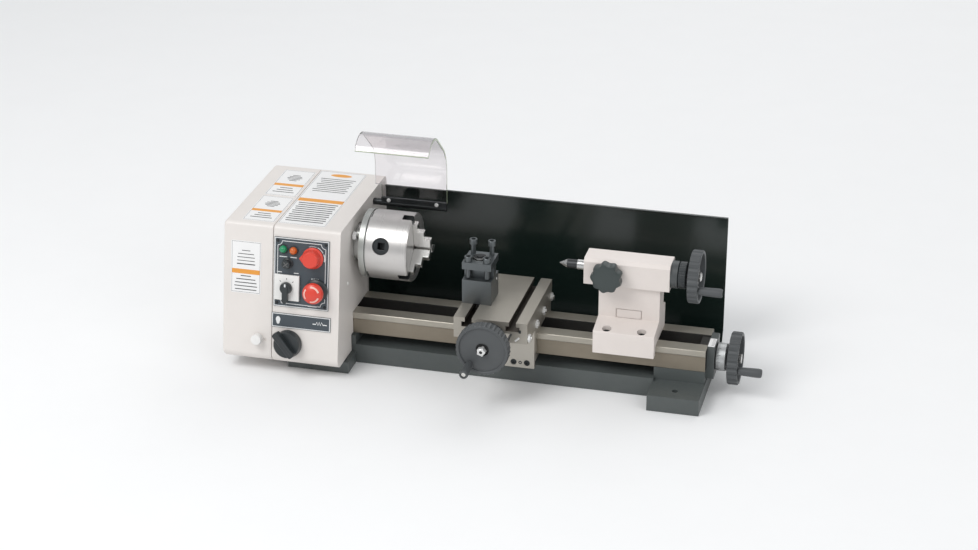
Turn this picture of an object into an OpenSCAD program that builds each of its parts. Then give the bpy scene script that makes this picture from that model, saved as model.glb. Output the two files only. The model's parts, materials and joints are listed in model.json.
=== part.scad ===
// Small bench lathe, millimetres.
// Z = 0 is the bench, X runs along the bed to the tailstock end and Y runs to the back.
// The origin is the centre of the four bench bolts. The spindle axis lies over Y = 0.

/* [Axes] */
// Height of the spindle and tailstock axis
axis_z = 137; // [130:1:145]
// Height of the leadscrew axis
lead_z = 41; // [40:0.5:42]

/* [Base and bed] */
// Left end of the bed
bed_x0 = -244; // [-246:1:-240]
// Right end of the bed
bed_x1 = 245; // [240:1:250]
// Half width across both rails
bed_y = 30.5; // [29:0.5:32]
// Half width of the gap between the rails
gap_y = 12.5; // [12:0.5:13]
// Top of the rails
bed_top = 60; // [60:0.5:61]
// Underside of the bed
bed_low = 34; // [33.5:0.5:35]
// Half distance between bench holes along X
bolt_x = 216; // [210:1:220]
// Half distance between bench holes along Y
bolt_y = 54.5; // [50:0.5:58]
// Radius of a bench hole
bolt_r = 3.5; // [3:0.25:4.5]
// Right face of the left foot
foot_l = -163; // [-168:1:-160]
// Left face of the right foot
foot_r = 187; // [180:1:192]

/* [Headstock] */
// Left face of the end cover
hs_x0 = -308; // [-310:1:-304]
// Seam between the end cover and the main cover
seam_x = -248; // [-249:1:-247]
// Right face of the main cover
hs_x1 = -168; // [-170:1:-166]
// Top of the covers
hs_top = 176; // [174:1:180]
// Front edge of the flat top
hs_front = -66; // [-70:1:-62]
// Back of the covers
hs_back = 114; // [108:1:116]
// Underside of the covers
hs_low = 15; // [15:0.5:16]
// Lean of the front panel in degrees
lean = 9.8; // [8:0.1:11]
// Wall of the covers
wall = 2.5; // [2:0.25:3]

/* [Chuck] */
// Radius of the chuck
chuck_r = 40; // [38:0.5:41]
// Front face of the chuck
chuck_x = -100.5; // [-102:0.5:-99]
// Angle of the first key socket around the axis
socket_a = 160; // [150:1:170]

/* [Carriage] */
// Left side of the saddle and cross slide
slide_x0 = -33.5; // [-34:0.5:-33]
// Right side of the saddle and cross slide
slide_x1 = 51.5; // [51:0.5:52]
// Front of the cross slide
slide_y0 = -80; // [-82:1:-79]
// Back of the cross slide
slide_y1 = 44; // [42:1:46]
// Top of the cross slide
slide_top = 94; // [94:0.5:95]
// Side of the square tool post
post_w = 34; // [32:1:35]

/* [Tailstock] */
// Left end of the tailstock barrel
tail_x0 = 101; // [98:1:104]
// Right end of the tailstock barrel
tail_x1 = 199; // [197:1:200]
// Left side of the column and foot
column_x0 = 118; // [116:1:120]
// Right side of the column and foot
column_x1 = 188; // [186:1:190]

/* [Handwheels] */
// Radius of each handwheel
wheel_r = 30.3; // [28:0.1:31]
// Distance from a wheel's axis to its crank handle
crank_r = 23.5; // [22:0.5:25]

/* [Hidden] */
$fn = 64;
fit = 0.05;         // radial clearance of a turning or sliding fit
gap = 0.4;          // clearance between plain faces that move past each other
slide_mid = (slide_x0 + slide_x1) / 2;
post_x = -16.5;     // tool post centre, over the left T-slot
post_y = -26;
cross_z = 75;       // cross slide screw axis
guard_y = 60;       // guard hinge axis
guard_z = 163;
tilt = tan(lean);
motor_y = 72;
motor_z = 62;
stud_z = axis_z - 48;   // compound gear axis, midway between spindle and leadscrew
gear_m = 1.5;           // gear module
pedestal = 38;          // half width of the base under the bed
socket_x = -130.6;      // plane of the key sockets in the chuck
knob_r = 18.5;          // quill lock knob over its lobes
guard_bend = 50;        // the guard's first bend in degrees
guard_run = 30;         // flat length of the guard between its bends
// Places on the front face, X and Z
speed_at = [-199.6, 143.7];
stop_at = [-194.6, 106.6];
switch_at = [-229.4, 107];
feed_at = [-227.2, 41];
screw_at = [-264, 43];
panel_at = [-213.2, 124];
plate_at = [-212.5, 67.5];
label_at = [-280, 124.7];
lamp_at = [[-234.7, 151], [-222.6, 150.3]];
fuse_at = [-229.6, 134.7];
lock_x = 129.5;         // quill lock along the barrel
gib_y = [-75, -37.5, -2, 37];
steel = "silver";
black = [0.13, 0.14, 0.15];
dark = [0.25, 0.27, 0.28];
cream = [0.9, 0.88, 0.86];

// Y of the leaning front face at height z
function face_y(z) = hs_front - (hs_top - z) * tilt;

// One corner of a rounded outline: an arc of radius r from angle a to angle b
function arc(c, r, a, b, n = 6) = [for (i = [0:n]) c + r * [cos(a + (b - a) * i / n), sin(a + (b - a) * i / n)]];

// A rod, tube or disc along X, Y or the given direction
module along_x(x0, x1, r, bore = 0, y = 0, z = 0)
    translate([x0, y, z]) rotate([0, 90, 0]) difference() {
        cylinder(h = x1 - x0, r = r);
        if (bore > 0) translate([0, 0, -1]) cylinder(h = x1 - x0 + 2, r = bore);
    }

module along_y(y0, y1, r, bore = 0, x = 0, z = 0)
    translate([x, y1, z]) rotate([90, 0, 0]) difference() {
        cylinder(h = y1 - y0, r = r);
        if (bore > 0) translate([0, 0, -1]) cylinder(h = y1 - y0 + 2, r = bore);
    }

// A box between two corners
module block(a, b) translate(a) cube(b - a);

// Places children on the leaning front face, +Z outwards and +Y up the slope
module on_front(p, out = 0)
    translate([p[0], face_y(p[1]), p[1]]) rotate([90 - lean, 0, 0]) translate([0, 0, out]) children();

// Places children on a chuck radius, +Z outwards
module on_radius(a, x) translate([x, 0, axis_z]) rotate([a, 0, 0]) rotate([-90, 0, 0]) children();

// A socket head cap screw with its head upwards, the underside of the head at Z = 0
module cap_screw(r, head_r, head_h, length) {
    difference() {
        cylinder(h = head_h, r = head_r);
        translate([0, 0, head_h * 0.45]) cylinder(h = head_h, r = r * 0.95, $fn = 6);
    }
    translate([0, 0, -length]) cylinder(h = length + 0.1, r = r);
}

// A spur gear along X from x0 to x1 with one tooth centred at the angle phase
module spur_gear(x0, x1, teeth, phase, y, z, bore) {
    pitch_r = teeth * gear_m / 2;
    tip_r = pitch_r + 0.9 * gear_m;
    root_r = pitch_r - 1.2 * gear_m;
    step = 360 / teeth;
    outline = [for (i = [0:teeth - 1]) each [
        for (p = [[root_r, -0.33], [pitch_r, -0.22], [tip_r, -0.11], [tip_r, 0.11], [pitch_r, 0.22], [root_r, 0.33]])
            p[0] * [cos(phase + (i + p[1]) * step), sin(phase + (i + p[1]) * step)]]];
    translate([x0, y, z]) rotate([90, 0, 90]) difference() {
        linear_extrude(height = x1 - x0) polygon(outline);
        translate([0, 0, -1]) cylinder(h = x1 - x0 + 2, r = bore);
    }
}

// A handwheel along +Z: rim, dished web, hub and the pin of its crank handle at angle a
module handwheel(shaft, a, w = 12) {
    rotate_extrude() polygon([[shaft, -4], [9, -4], [9, 1.5], [wheel_r - 5, 1.5], [wheel_r - 5, 0], [wheel_r - 0.5, 0],
        [wheel_r, 0.5], [wheel_r, w - 0.5], [wheel_r - 0.5, w], [wheel_r - 4, w], [wheel_r - 4, 5], [9, 5], [9, w - 3],
        [shaft, w - 3]]);
    rotate([0, 0, a]) translate([crank_r, 0, 4.5]) cylinder(h = 33.5, r = 3);
}

// The grip that spins on a crank pin
module crank_grip(a) color(dark)
    rotate([0, 0, a]) translate([crank_r, 0, 0]) rotate_extrude()
        polygon([[3 + fit, 12.4], [4.2, 12.4], [4.8, 14], [5, 20], [5.3, 36], [4.6, 39.5], [3 + fit, 39.5]]);

// ---- Base and bed ----

module base_casting() color(dark) difference() {
    union() {
        block([foot_l - 73, -69, 0], [foot_l, 69, 14]);
        block([foot_r, -72, 0], [foot_r + 59, 72, 19]);
        block([foot_l - 16, -pedestal, 0], [foot_l, pedestal, bed_low]);
        block([bed_x0 + 8, -pedestal, 0], [foot_l, pedestal, bed_low - 8]);
        block([bed_x0 + 8, -bed_y, 0], [bed_x0 + 22, bed_y, bed_low]);
        block([foot_r, -bed_y, 0], [bed_x1, bed_y, bed_low]);
        block([foot_l - 1, -pedestal, 0], [foot_r + 1, -pedestal + 5, 23]);
        block([foot_l - 1, pedestal - 5, 0], [foot_r + 1, pedestal, 23]);
        block([foot_l - 1, -pedestal, 18], [foot_r + 1, pedestal, 22]);
    }
    for (x = [-bolt_x, bolt_x], y = [-bolt_y, bolt_y]) translate([x, y, -1]) cylinder(h = 40, r = bolt_r);
    for (x = [bed_x0 + 15, foot_r + 35], y = [-20, 20]) translate([x, y, -1]) cylinder(h = 60, r = 3.2);
    for (x = [bed_x0 + 15, foot_r + 35], y = [-20, 20]) translate([x, y, -1]) cylinder(h = 13, r = 6);
}

// Cross section of one rail: a flanged way over a thinner wall
module rail(side) mirror([0, side, 0]) translate([bed_x0, 0, 0]) rotate([90, 0, 90])
    linear_extrude(height = bed_x1 - bed_x0) polygon([[gap_y, bed_low], [bed_y - 1.2, bed_low],
        [bed_y - 1.2, bed_top - 8], [bed_y, bed_top - 7], [bed_y, bed_top - 0.6], [bed_y - 0.6, bed_top],
        [gap_y + 0.6, bed_top], [gap_y, bed_top - 0.6]]);

module bed() color("gray") difference() {
    union() {
        rail(0);
        rail(1);
        block([bed_x0, -gap_y - 1, bed_low], [bed_x0 + 8, gap_y + 1, bed_top - 2]);
        block([foot_l - 27, -gap_y - 1, bed_low], [foot_l - 15, gap_y + 1, bed_top - 2]);
        block([bed_x1 - 10, -gap_y - 1, bed_low], [bed_x1, gap_y + 1, bed_top - 2]);
    }
    along_x(bed_x0 - 1, bed_x0 + 9, 6 + fit, z = lead_z);
    along_x(foot_l - 28, foot_l - 14, 5 + fit, z = lead_z);
    along_x(bed_x1 - 11, bed_x1 + 1, 5.8, z = lead_z);
    for (x = [bed_x0 + 15, foot_r + 35], y = [-20, 20]) translate([x, y, bed_low - 1]) cylinder(h = 14, r = 2.6);
}

module backsplash() color(black) {
    block([-167.6, 108.4, 20], [bed_x1 - 0.5, 110, 165]);
    translate([-167.6, 0, 0]) rotate([90, 0, 90]) linear_extrude(height = bed_x1 - 0.5 + 167.6)
        polygon([[108.4, 20], [110, 20], [102, 4.5], [72, 4.5], [72, 6], [101, 6]]);
    block([-167.6, 31.5, 35], [-166.2, 109, 108]);
    block([-167.6, 74, 16], [-166.2, 109, 36]);
    block([-167.6, 106.4, 163.6], [bed_x1 - 0.5, 108.5, 165]);
}

// ---- Headstock ----

module headstock_casting() color("gray") difference() {
    union() {
        block([-244, -30, bed_top], [-172, 30, 72]);
        block([-244, -27, 71], [-226, 27, axis_z + 20]);
        block([-190, -27, 71], [-172, 27, axis_z + 20]);
        along_x(-244, -226, 27, z = axis_z);
        along_x(-190, -172, 27, z = axis_z);
        block([-227, -27, 71], [-189, -21, 110]);
        block([-227, 21, 71], [-189, 27, 110]);
    }
    along_x(-245, -171, 12, z = axis_z);
    along_x(-245, -227.5, 21, z = axis_z);
    along_x(-188.5, -171, 21, z = axis_z);
}

// Outline of the covers, inset by d, in Y and Z
function cover_outline(d) = let (k = d / cos(lean), low = hs_low + d, top = hs_top - d,
        f_top = face_y(top) + k, f_low = face_y(low) + k, back = hs_back - d)
    concat(arc([f_low + 10 / cos(lean) + 10 * tilt, low + 10], 10, 270, 180 - lean),
        arc([f_top + 5 / cos(lean) - 5 * tilt, top - 5], 5, 180 - lean, 90),
        arc([back - 8, top - 8], 8, 90, 0), arc([back - 8, low + 8], 8, 0, -90));

module cover_block(x0, x1, d)
    translate([x0, 0, 0]) rotate([90, 0, 90]) linear_extrude(height = x1 - x0) polygon(cover_outline(d));

module headstock_cover() color(cream) difference() {
    cover_block(seam_x + 0.4, hs_x1, 0);
    cover_block(seam_x - 1, hs_x1 - wall, wall);
    block([seam_x - 1, -58, hs_low - 5], [hs_x1 - wall, hs_back - 12, hs_low + 6]);
    block([hs_x1 - 5, -pedestal - 1, hs_low - 5], [hs_x1 + 1, pedestal + 1, bed_low + 1]);
    block([hs_x1 - 5, -bed_y - 0.3, bed_low], [hs_x1 + 1, bed_y + 0.3, bed_top + 0.3]);
    along_x(hs_x1 - 5, hs_x1 + 1, 22.6, z = axis_z);
    along_x(hs_x1 - 5, hs_x1 + 1, 3.5 + fit, y = guard_y, z = guard_z);
    for (p = [speed_at, stop_at, feed_at, switch_at])
        on_front(p, -12) cylinder(h = 20, r = 3 + fit);
}

module gear_cover() color(cream) difference() {
    cover_block(hs_x0, seam_x, 0);
    cover_block(hs_x0 + wall, seam_x + 1, wall);
    along_x(hs_x0 - 1, hs_x0 + 5, 9, z = axis_z);
    on_front(screw_at, -12) cylinder(h = 20, r = 2.5 + fit);
    on_front(screw_at + [9, -0.7], -1) cylinder(h = 3, r = 1.8);
}

module cover_thumbscrew() color(steel) on_front(screw_at) {
    translate([0, 0, 0.4]) cylinder(h = 9, r = 6.4);
    translate([0, 0, -10]) cylinder(h = 11, r = 2.5);
}

module ring_bearing(x0) color(steel) along_x(x0, x0 + 12, 21, bore = 10 + fit, z = axis_z);

module spindle_bearings() {
    ring_bearing(-242);
    ring_bearing(-186);
}

module spindle() color(steel) difference() {
    union() {
        along_x(-296, -164, 10, z = axis_z);
        along_x(-170, -157.6, 22, z = axis_z);
        along_x(-157.7, -154, 16, z = axis_z);
        along_x(-226, -222, 15, z = axis_z);
    }
    along_x(-297, -153, 5.1, z = axis_z);
}

// A grooved belt pulley with flanges along X
module pulley(x0, w, r, bore, y, z) {
    along_x(x0, x0 + 1.5, r + 2, bore = bore, y = y, z = z);
    along_x(x0 + 1.4, x0 + w - 1.4, r, bore = bore, y = y, z = z);
    along_x(x0 + w - 1.5, x0 + w, r + 2, bore = bore, y = y, z = z);
}

module spindle_pulley() color("dimgray") pulley(-290, 14, 28, 10, 0, axis_z);

module spindle_gear() color("khaki") spur_gear(-262, -252, 20, -90, 0, axis_z, 10);

module motor() color("dimgray") {
    along_x(-240, -178, 31, y = motor_y, z = motor_z);
    block([-243, motor_y - 34, hs_low + 4], [-239, motor_y + 24, motor_z + 34]);
    block([-243, 30, bed_top + 2], [-239, motor_y - 33, bed_top + 12]);
}

module motor_pulley() color(steel) {
    pulley(-290, 14, 14, 4, motor_y, motor_z);
    along_x(-292, -243.4, 4, y = motor_y, z = motor_z);
}

// A flat belt loop round two pulleys, r_small and r_big including a running gap
module drive_belt() color(black) {
    c = [motor_y, motor_z - axis_z];
    d = norm(c);
    lead = atan2(c[1], c[0]);
    lean_in = acos((28 - 14) / d);
    translate([-288, 0, axis_z]) rotate([90, 0, 90]) linear_extrude(height = 10) difference() {
        polygon(concat(arc([0, 0], 30.2, lead + lean_in, lead + 360 - lean_in, 40), arc(c, 16.2, lead - lean_in, lead + lean_in, 24)));
        polygon(concat(arc([0, 0], 28.4, lead + lean_in, lead + 360 - lean_in, 40), arc(c, 14.4, lead - lean_in, lead + lean_in, 24)));
    }
}

module control_board() color("darkgreen") {
    block([-236, -52, 78], [-180, -50.4, 158]);
    block([-230, -50.4, 86], [-214, -38, 110]);
    block([-206, -50.4, 120], [-190, -40, 150]);
}

module gear_quadrant() color("gray") {
    difference() {
        block([-250, -11, 68], [-244, 11, 112]);
        for (z = [74, 106]) along_x(-251, -243, 3, z = z);
    }
    along_x(-279, -249, 6, z = stud_z);
}

module compound_gear() color("khaki") {
    spur_gear(-262, -252, 44, 90 + 180 / 44, 0, stud_z, 6 + fit);
    spur_gear(-274, -264, 36, -90, 0, stud_z, 6 + fit);
    along_x(-264.1, -261.9, 16, bore = 6 + fit, z = stud_z);
}

module input_gear() color("khaki") {
    spur_gear(-274, -264, 28, 90 + 180 / 28, 0, lead_z, 5.5);
    along_x(-278, -230, 6, z = lead_z);
    for (a = [0, 180]) translate([-231, 0, lead_z]) rotate([a, 0, 0]) block([0, 2, -1.5], [3, 5.5, 1.5]);
}

module feed_clutch() color(steel) along_x(-224.5, -212, 6.6, bore = 5 + fit, z = lead_z);

// ---- Control panel ----

// The control panel and the feed direction plate below it
module panel_plates() color(dark) difference() {
    union() {
        on_front(panel_at) translate([-32.7, -40.8, 0]) cube([65.4, 81.6, 1.3]);
        on_front(plate_at) translate([-35.2, -8.6, 0]) cube([70.4, 17.2, 1]);
    }
    for (p = [speed_at, stop_at, switch_at])
        on_front(p, -3) cylinder(h = 20, r = 3 + fit);
}

// The bed bolts from below and the corner screws of the control panel
module frame_screws() color(steel) {
    for (x = [bed_x0 + 15, foot_r + 35], y = [-20, 20])
        translate([x, y, 12]) mirror([0, 0, 1]) cap_screw(2.6, 4.6, 5, 34);
    for (dx = [-28.6, 28.6], dy = [-36.6, 36.6])
        on_front(panel_at) translate([dx, dy, 1.3]) cylinder(h = 1.2, r = 1.8);
}

module lamp(p) on_front(p, 1.3) rotate_extrude()
    polygon([[0, 0], [5.6, 0], [5.6, 1.2], [4.4, 1.8], [4.4, 3.5], [3.4, 5.2], [1.8, 6.2], [0, 6.5]]);

module signal_lamps() color("green") {
    for (p = lamp_at) lamp(p);
}

module fuse_holder() color(black) on_front(fuse_at, 1.3) difference() {
    rotate_extrude() polygon([[0, 0], [6.6, 0], [6.6, 1.6], [5.4, 2.4], [5.2, 7.5], [4.6, 8.2], [0, 8.2]]);
    translate([-6, -0.6, 6.8]) cube([12, 1.2, 3]);
}

module speed_knob() color("red") on_front(speed_at) {
    rotate_extrude() polygon([[0, -9], [3, -9], [3, 1.7], [12.6, 1.7], [12.6, 3.2], [10.6, 4.4], [9.6, 13.5], [8.6, 14.6], [0, 14.6]]);
    translate([-14, -1.5, 1.7]) cube([5, 3, 2.2]);
}

module switch_plate() color("white") on_front(switch_at, 1.4) difference() {
    translate([-14.8, -15, 0]) cube([29.6, 30, 3.4]);
    translate([0, 0, -1]) cylinder(h = 6, r = 3 + fit);
}

module switch_lever() color(black) on_front(switch_at) {
    rotate_extrude() polygon([[0, -9], [3, -9], [3, 5.1], [7.2, 5.1], [7.2, 8], [6.4, 11], [0, 11]]);
    translate([-3, -17, 6.3]) cube([6, 18, 6]);
}

module stop_collar() color(black) on_front(stop_at, 1.4) rotate_extrude()
    polygon([[3 + fit, 0], [13.6, 0], [13.6, 3.5], [12, 4.8], [8.6, 5.4], [8.6, 7], [3 + fit, 7]]);

module stop_button() color("red") on_front(stop_at) rotate_extrude()
    polygon([[0, -10], [3, -10], [3, 13], [11.6, 13], [12.3, 13.9], [12.3, 15.4], [11.2, 18.4], [8.5, 20.6], [4.5, 21.8], [0, 22.2]]);

module feed_knob() color(black) on_front(feed_at) {
    rotate_extrude() polygon([[0, -11], [3, -11], [3, 0.6], [16.4, 0.6], [16.4, 3], [15.4, 9], [14.4, 10], [0, 10]]);
    rotate([0, 0, 130]) translate([-15.5, -4.2, 9]) cube([35, 8.4, 9]);
}

module blank_labels() color("white") {
    on_front(label_at) translate([-18.5, -31.5, 0]) cube([37, 63, 0.4]);
    block([-246.6, -57, hs_top], [-189, 104, hs_top + 0.45]);
    block([-289, 18.5, hs_top], [-250, 97, hs_top + 0.45]);
    block([-289, -57.5, hs_top], [-250, 15, hs_top + 0.45]);
}

// ---- Chuck ----

// The back plate with the three bolts that hold the chuck on it
module chuck_backplate() color(steel) {
    difference() {
        union() {
            along_x(-157.6, -150.4, chuck_r, z = axis_z);
            along_x(-150.5, -149, chuck_r - 2, z = axis_z);
        }
        along_x(-158, -154, 16, z = axis_z);
        along_x(-158, -148, 5.1, z = axis_z);
    }
    for (a = [20, 140, 260]) on_radius(a, -157.6) translate([0, 0, 33]) rotate([0, -90, 0]) cylinder(h = 4, r = 4);
}

// A jaw slot or jaw outline in the plane of the face: a bar with a pointed inner end
module jaw_bar(x0, x1, r0, r1, half) translate([x0, 0, 0]) rotate([90, 0, 90])
    linear_extrude(height = x1 - x0) polygon([[r0, 0], [r0 + half / tan(60), -half], [r1, -half], [r1, half],
        [r0 + half / tan(60), half]]);

module chuck_body() color(steel) difference() {
    union() {
        along_x(-149, chuck_x, chuck_r - 0.6, z = axis_z);
        along_x(-147.5, chuck_x - 1, chuck_r, z = axis_z);
    }
    along_x(-150, chuck_x + 1, 8, z = axis_z);
    along_x(-119.2, chuck_x - 11.6, 36, bore = 12, z = axis_z);
    for (i = [0:2]) {
        on_radius(socket_a + i * 120, socket_x) translate([0, 0, 21.6]) cylinder(h = 30, r = 10 + fit);
        translate([0, 0, axis_z]) rotate([socket_a + 60 + i * 120, 0, 0])
            jaw_bar(chuck_x - 11.8, chuck_x + 1, -3, chuck_r + 5, 4.7);
    }
}

module chuck_scroll() color("dimgray") along_x(-118.8, chuck_x - 12.3, 35.6, bore = 12.4, z = axis_z);

// A key pinion with its square socket
module chuck_pinion(i) color("dimgray") on_radius(socket_a + i * 120, socket_x) difference() {
    translate([0, 0, 22]) cylinder(h = 16, r = 10);
    translate([-4, -4, 27]) cube([8, 8, 20]);
}

module chuck_pinion_1() chuck_pinion(0);
module chuck_pinion_2() chuck_pinion(1);
module chuck_pinion_3() chuck_pinion(2);

// A stepped jaw; the steps fall away from the axis
module chuck_jaw(i) color(steel) translate([0, 0, axis_z]) rotate([socket_a + 60 + i * 120, 0, 0]) {
    jaw_bar(chuck_x - 11.4, chuck_x + 5.5, 1.5, 33, 4.3);
    jaw_bar(chuck_x + 5.4, chuck_x + 12.5, 1.5, 23, 4.3);
    jaw_bar(chuck_x + 12.4, chuck_x + 19.5, 1.5, 13, 4.3);
}

module chuck_jaw_1() chuck_jaw(0);
module chuck_jaw_2() chuck_jaw(1);
module chuck_jaw_3() chuck_jaw(2);

// ---- Chuck guard ----

// Path of the curved sheet in Y and Z from the hinge axis, offset by t to its outer side
function guard_path(t) = concat([[t, 5], [t, 46]],
    arc([-42, 46], 42 + t, 0, guard_bend, 10),
    arc([-42 + 18 * cos(guard_bend) - guard_run * sin(guard_bend), 46 + 18 * sin(guard_bend) + guard_run * cos(guard_bend)],
        24 + t, guard_bend, 150, 16));

module guard_shield() color([0.85, 0.9, 0.92, 0.4]) difference() {
    translate([hs_x1 + 2.5, guard_y, guard_z]) rotate([90, 0, 90]) linear_extrude(height = 86.5)
        polygon(concat(guard_path(3), [for (i = [len(guard_path(0)) - 1:-1:0]) guard_path(0)[i]]));
    block([hs_x1, guard_y - 10, guard_z - 5], [hs_x1 + 10, guard_y + 10, guard_z + 22]);
}

module guard_rod() color(black) {
    along_x(hs_x1 + 0.4, hs_x1 + 89, 4, y = guard_y, z = guard_z);
    along_x(hs_x1 - 10, hs_x1 + 0.5, 3.5, y = guard_y, z = guard_z);
    block([hs_x1 + 10.5, guard_y - 3.5, guard_z], [hs_x1 + 89, guard_y, guard_z + 7.5]);
    for (x = [hs_x1 + 20, hs_x1 + 78]) translate([x, guard_y - 3.5, guard_z + 5]) rotate([90, 0, 0]) cylinder(h = 2, r = 2.4);
}

// ---- Leadscrew ----

module leadscrew() color(steel) {
    along_x(-227, bed_x1 + 24, 5, z = lead_z);
    along_x(bed_x1 + 23, bed_x1 + 33, 5, z = lead_z);
    along_x(bed_x1 + 33, bed_x1 + 37, 5.5, z = lead_z);
}

module leadscrew_wheel() color(dark) {
    along_x(bed_x1 + 9, bed_x1 + 20.5, 16, bore = 5, z = lead_z);
    translate([bed_x1 + 24, 0, lead_z]) rotate([90, 0, 90]) handwheel(5, -80);
}

module leadscrew_bracket() color(dark) {
    difference() {
        block([bed_x1, -19, 21], [bed_x1 + 8.5, 19, 61]);
        along_x(bed_x1 - 1, bed_x1 + 10, 5 + fit, z = lead_z);
    }
    block([bed_x1 + 0.5, -18.5, 61], [bed_x1 + 8, 2, 61.6]);
}

// ---- Carriage ----

module saddle() color("gray") difference() {
    union() {
        block([slide_x0, -39.5, bed_top + 0.05], [slide_x1, 39.5, 68.5]);
        for (s = [0, 1]) mirror([0, s, 0]) block([slide_x0, bed_y + gap, 38], [slide_x1, 39.5, 68]);
        translate([slide_mid, 39.5, 0]) rotate([90, 0, 0]) linear_extrude(height = 79)
            polygon([[-17, 68.4], [17, 68.4], [22, 79.5], [-22, 79.5]]);
    }
    block([slide_mid - 8, -40, 69.5], [slide_mid + 8, -8, 80]);
    block([slide_mid - 8, 8, 69.5], [slide_mid + 8, 40, 80]);
    along_y(-41, 41, 4 + fit, x = slide_mid, z = cross_z);
}

module apron() color("gray") difference() {
    union() {
        block([-12, -45, 21], [slide_x1, -39.5, 68.3]);
        block([20, -40, 24.8], [50, 9, 33.4]);
        block([24, -9, 33.3], [46, 9, 50]);
    }
    along_x(20, 50, 5 + fit, z = lead_z);
    for (x = [27.4, 43]) along_y(-46, -42, 3.6, x = x, z = 27.5);
    for (x = [27.4, 43]) along_y(-46.5, -38, 2.2, x = x, z = 27.5);
}

// The cross slide: two T-slots on top and a dovetail groove below, with a loose gib on its right
module cross_slide() color("gray") difference() {
    union() {
        block([slide_x0, slide_y0, 69], [slide_x1, slide_y1, slide_top]);
        block([slide_mid - 14, slide_y0, 69.2], [slide_mid + 14, slide_y0 + 6, 80]);
    }
    difference() {
        translate([slide_mid, slide_y1 + 1, 0]) rotate([90, 0, 0]) linear_extrude(height = slide_y1 - slide_y0 + 2)
            polygon([[-17.6, 68], [-22.6, 80.2], [25.4, 80.2], [20.4, 68]]);
        block([slide_mid - 14, slide_y0 - 2, 69.2], [slide_mid + 14, slide_y0 + 6, 81]);
    }
    for (x = [post_x, 34.5]) {
        block([x - 4, slide_y0 - 1, 88.5], [x + 4, slide_y1 + 1, slide_top + 1]);
        block([x - 8, slide_y0 - 1, 83], [x + 8, slide_y1 + 1, 89]);
    }
    along_y(slide_y0 - 1, slide_y0 + 7, 4 + fit, x = slide_mid, z = cross_z);
    for (y = gib_y) along_x(slide_mid + 18, slide_x1 + 1, 2.2, y = y, z = cross_z);
}

// The gib strip with the screws that press it and their lock nuts
module gib_screws() color(steel) {
    translate([slide_mid, slide_y1 - 1, 0]) rotate([90, 0, 0]) linear_extrude(height = slide_y1 - slide_y0 - 2)
        polygon([[17.8, 69.4], [20.7, 69.4], [24.8, 79.4], [22.3, 79.4]]);
    for (y = gib_y) {
        along_x(slide_mid + 22.4, slide_x1 + 4.5, 2.2, y = y, z = cross_z);
        along_x(slide_x1, slide_x1 + 2.6, 4.2, bore = 2.2, y = y, z = cross_z);
    }
}

module cross_screw() color(steel) {
    along_y(slide_y0 - 43, 36, 4, x = slide_mid, z = cross_z);
    along_y(slide_y0 - 44, slide_y0 - 38, 5.5, x = slide_mid, z = cross_z);
}

module cross_wheel() color(dark) {
    along_y(slide_y0 - 18, slide_y0 - 3.5, 19, bore = 4, x = slide_mid, z = cross_z);
    along_y(slide_y0 - 3.6, slide_y0 - 0.3, 9, bore = 4, x = slide_mid, z = cross_z);
    translate([slide_mid, slide_y0 - 26.5, cross_z]) rotate([90, 0, 0]) handwheel(4, 233);
}

module tool_post() color("dimgray") translate([post_x, post_y, slide_top]) difference() {
    translate([-post_w / 2, -post_w / 2, 0.1]) cube([post_w, post_w, 50.4]);
    for (s = [0, 1]) mirror([0, s, 0]) translate([-post_w, -post_w, 29]) cube([post_w * 2, post_w - 5.5, 13]);
    translate([0, 0, -1]) cylinder(h = 60, r = 4 + fit);
    translate([0, 0, 47]) cylinder(h = 5, r = 9);
    for (x = [-10.8, 10.8], y = [-11.5, 11.5]) translate([x, y, 40]) cylinder(h = 20, r = 3);
}

module tool_screws() color("dimgray") translate([post_x, post_y, slide_top])
    for (x = [-10.8, 10.8], y = [-11.5, 11.5])
        translate([x, y, y < 0 ? 50.5 : 62]) cap_screw(3, 4.6, 6, y < 0 ? 14 : 21);

// T-headed bolt in the left T-slot with its round nut on top of the tool post
module tool_post_bolt() color(steel) translate([post_x, post_y, 0]) {
    translate([-7.5, -7.5, 83.2]) cube([15, 15, 5]);
    translate([0, 0, 88]) cylinder(h = slide_top - 88 + 53.5, r = 4);
    translate([0, 0, slide_top + 47.2]) difference() {
        cylinder(h = 5, r = 7.6);
        translate([0, 0, -1]) cylinder(h = 8, r = 3.9);
    }
}

// ---- Tailstock ----

module tailstock() color(cream) difference() {
    union() {
        translate([tail_x0, 0, 0]) rotate([90, 0, 90]) linear_extrude(height = tail_x1 - tail_x0)
            polygon([[-12, 152.5], [-16, 148.5], [-16, 121.5], [16, 121.5], [16, 150], [13.5, 152.5]]);
        translate([column_x0, 0, 0]) rotate([90, 0, 90]) linear_extrude(height = column_x1 - column_x0)
            polygon([[-11, 122], [-11, 82], [-40, 76], [-41, 75], [-41, 49], [-bed_y - gap, 49], [-bed_y - gap, bed_top + 0.05],
                [27, bed_top + 0.05], [27, 88], [26, 89], [14, 89], [14, 122]]);
        along_x(tail_x1, tail_x1 + 8, 15.6, z = axis_z);
    }
    along_x(tail_x0 - 1, tail_x0 + 90, 9 + fit, z = axis_z);
    along_x(tail_x0 + 88, tail_x1 + 9, 5 + fit, z = axis_z);
    for (x = [column_x0 + 14.5, column_x0 + 54.5]) translate([x, -34, 0]) {
        translate([0, 0, 40]) cylinder(h = 50, r = 2.6);
        translate([0, 0, 68]) cylinder(h = 20, r = 5.4);
    }
    block([column_x0 + 20, -12, 81.5], [column_x0 + 50, -9.6, 92.5]);
    along_y(-17, -8, 3 + fit, x = lock_x, z = axis_z);
}

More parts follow.
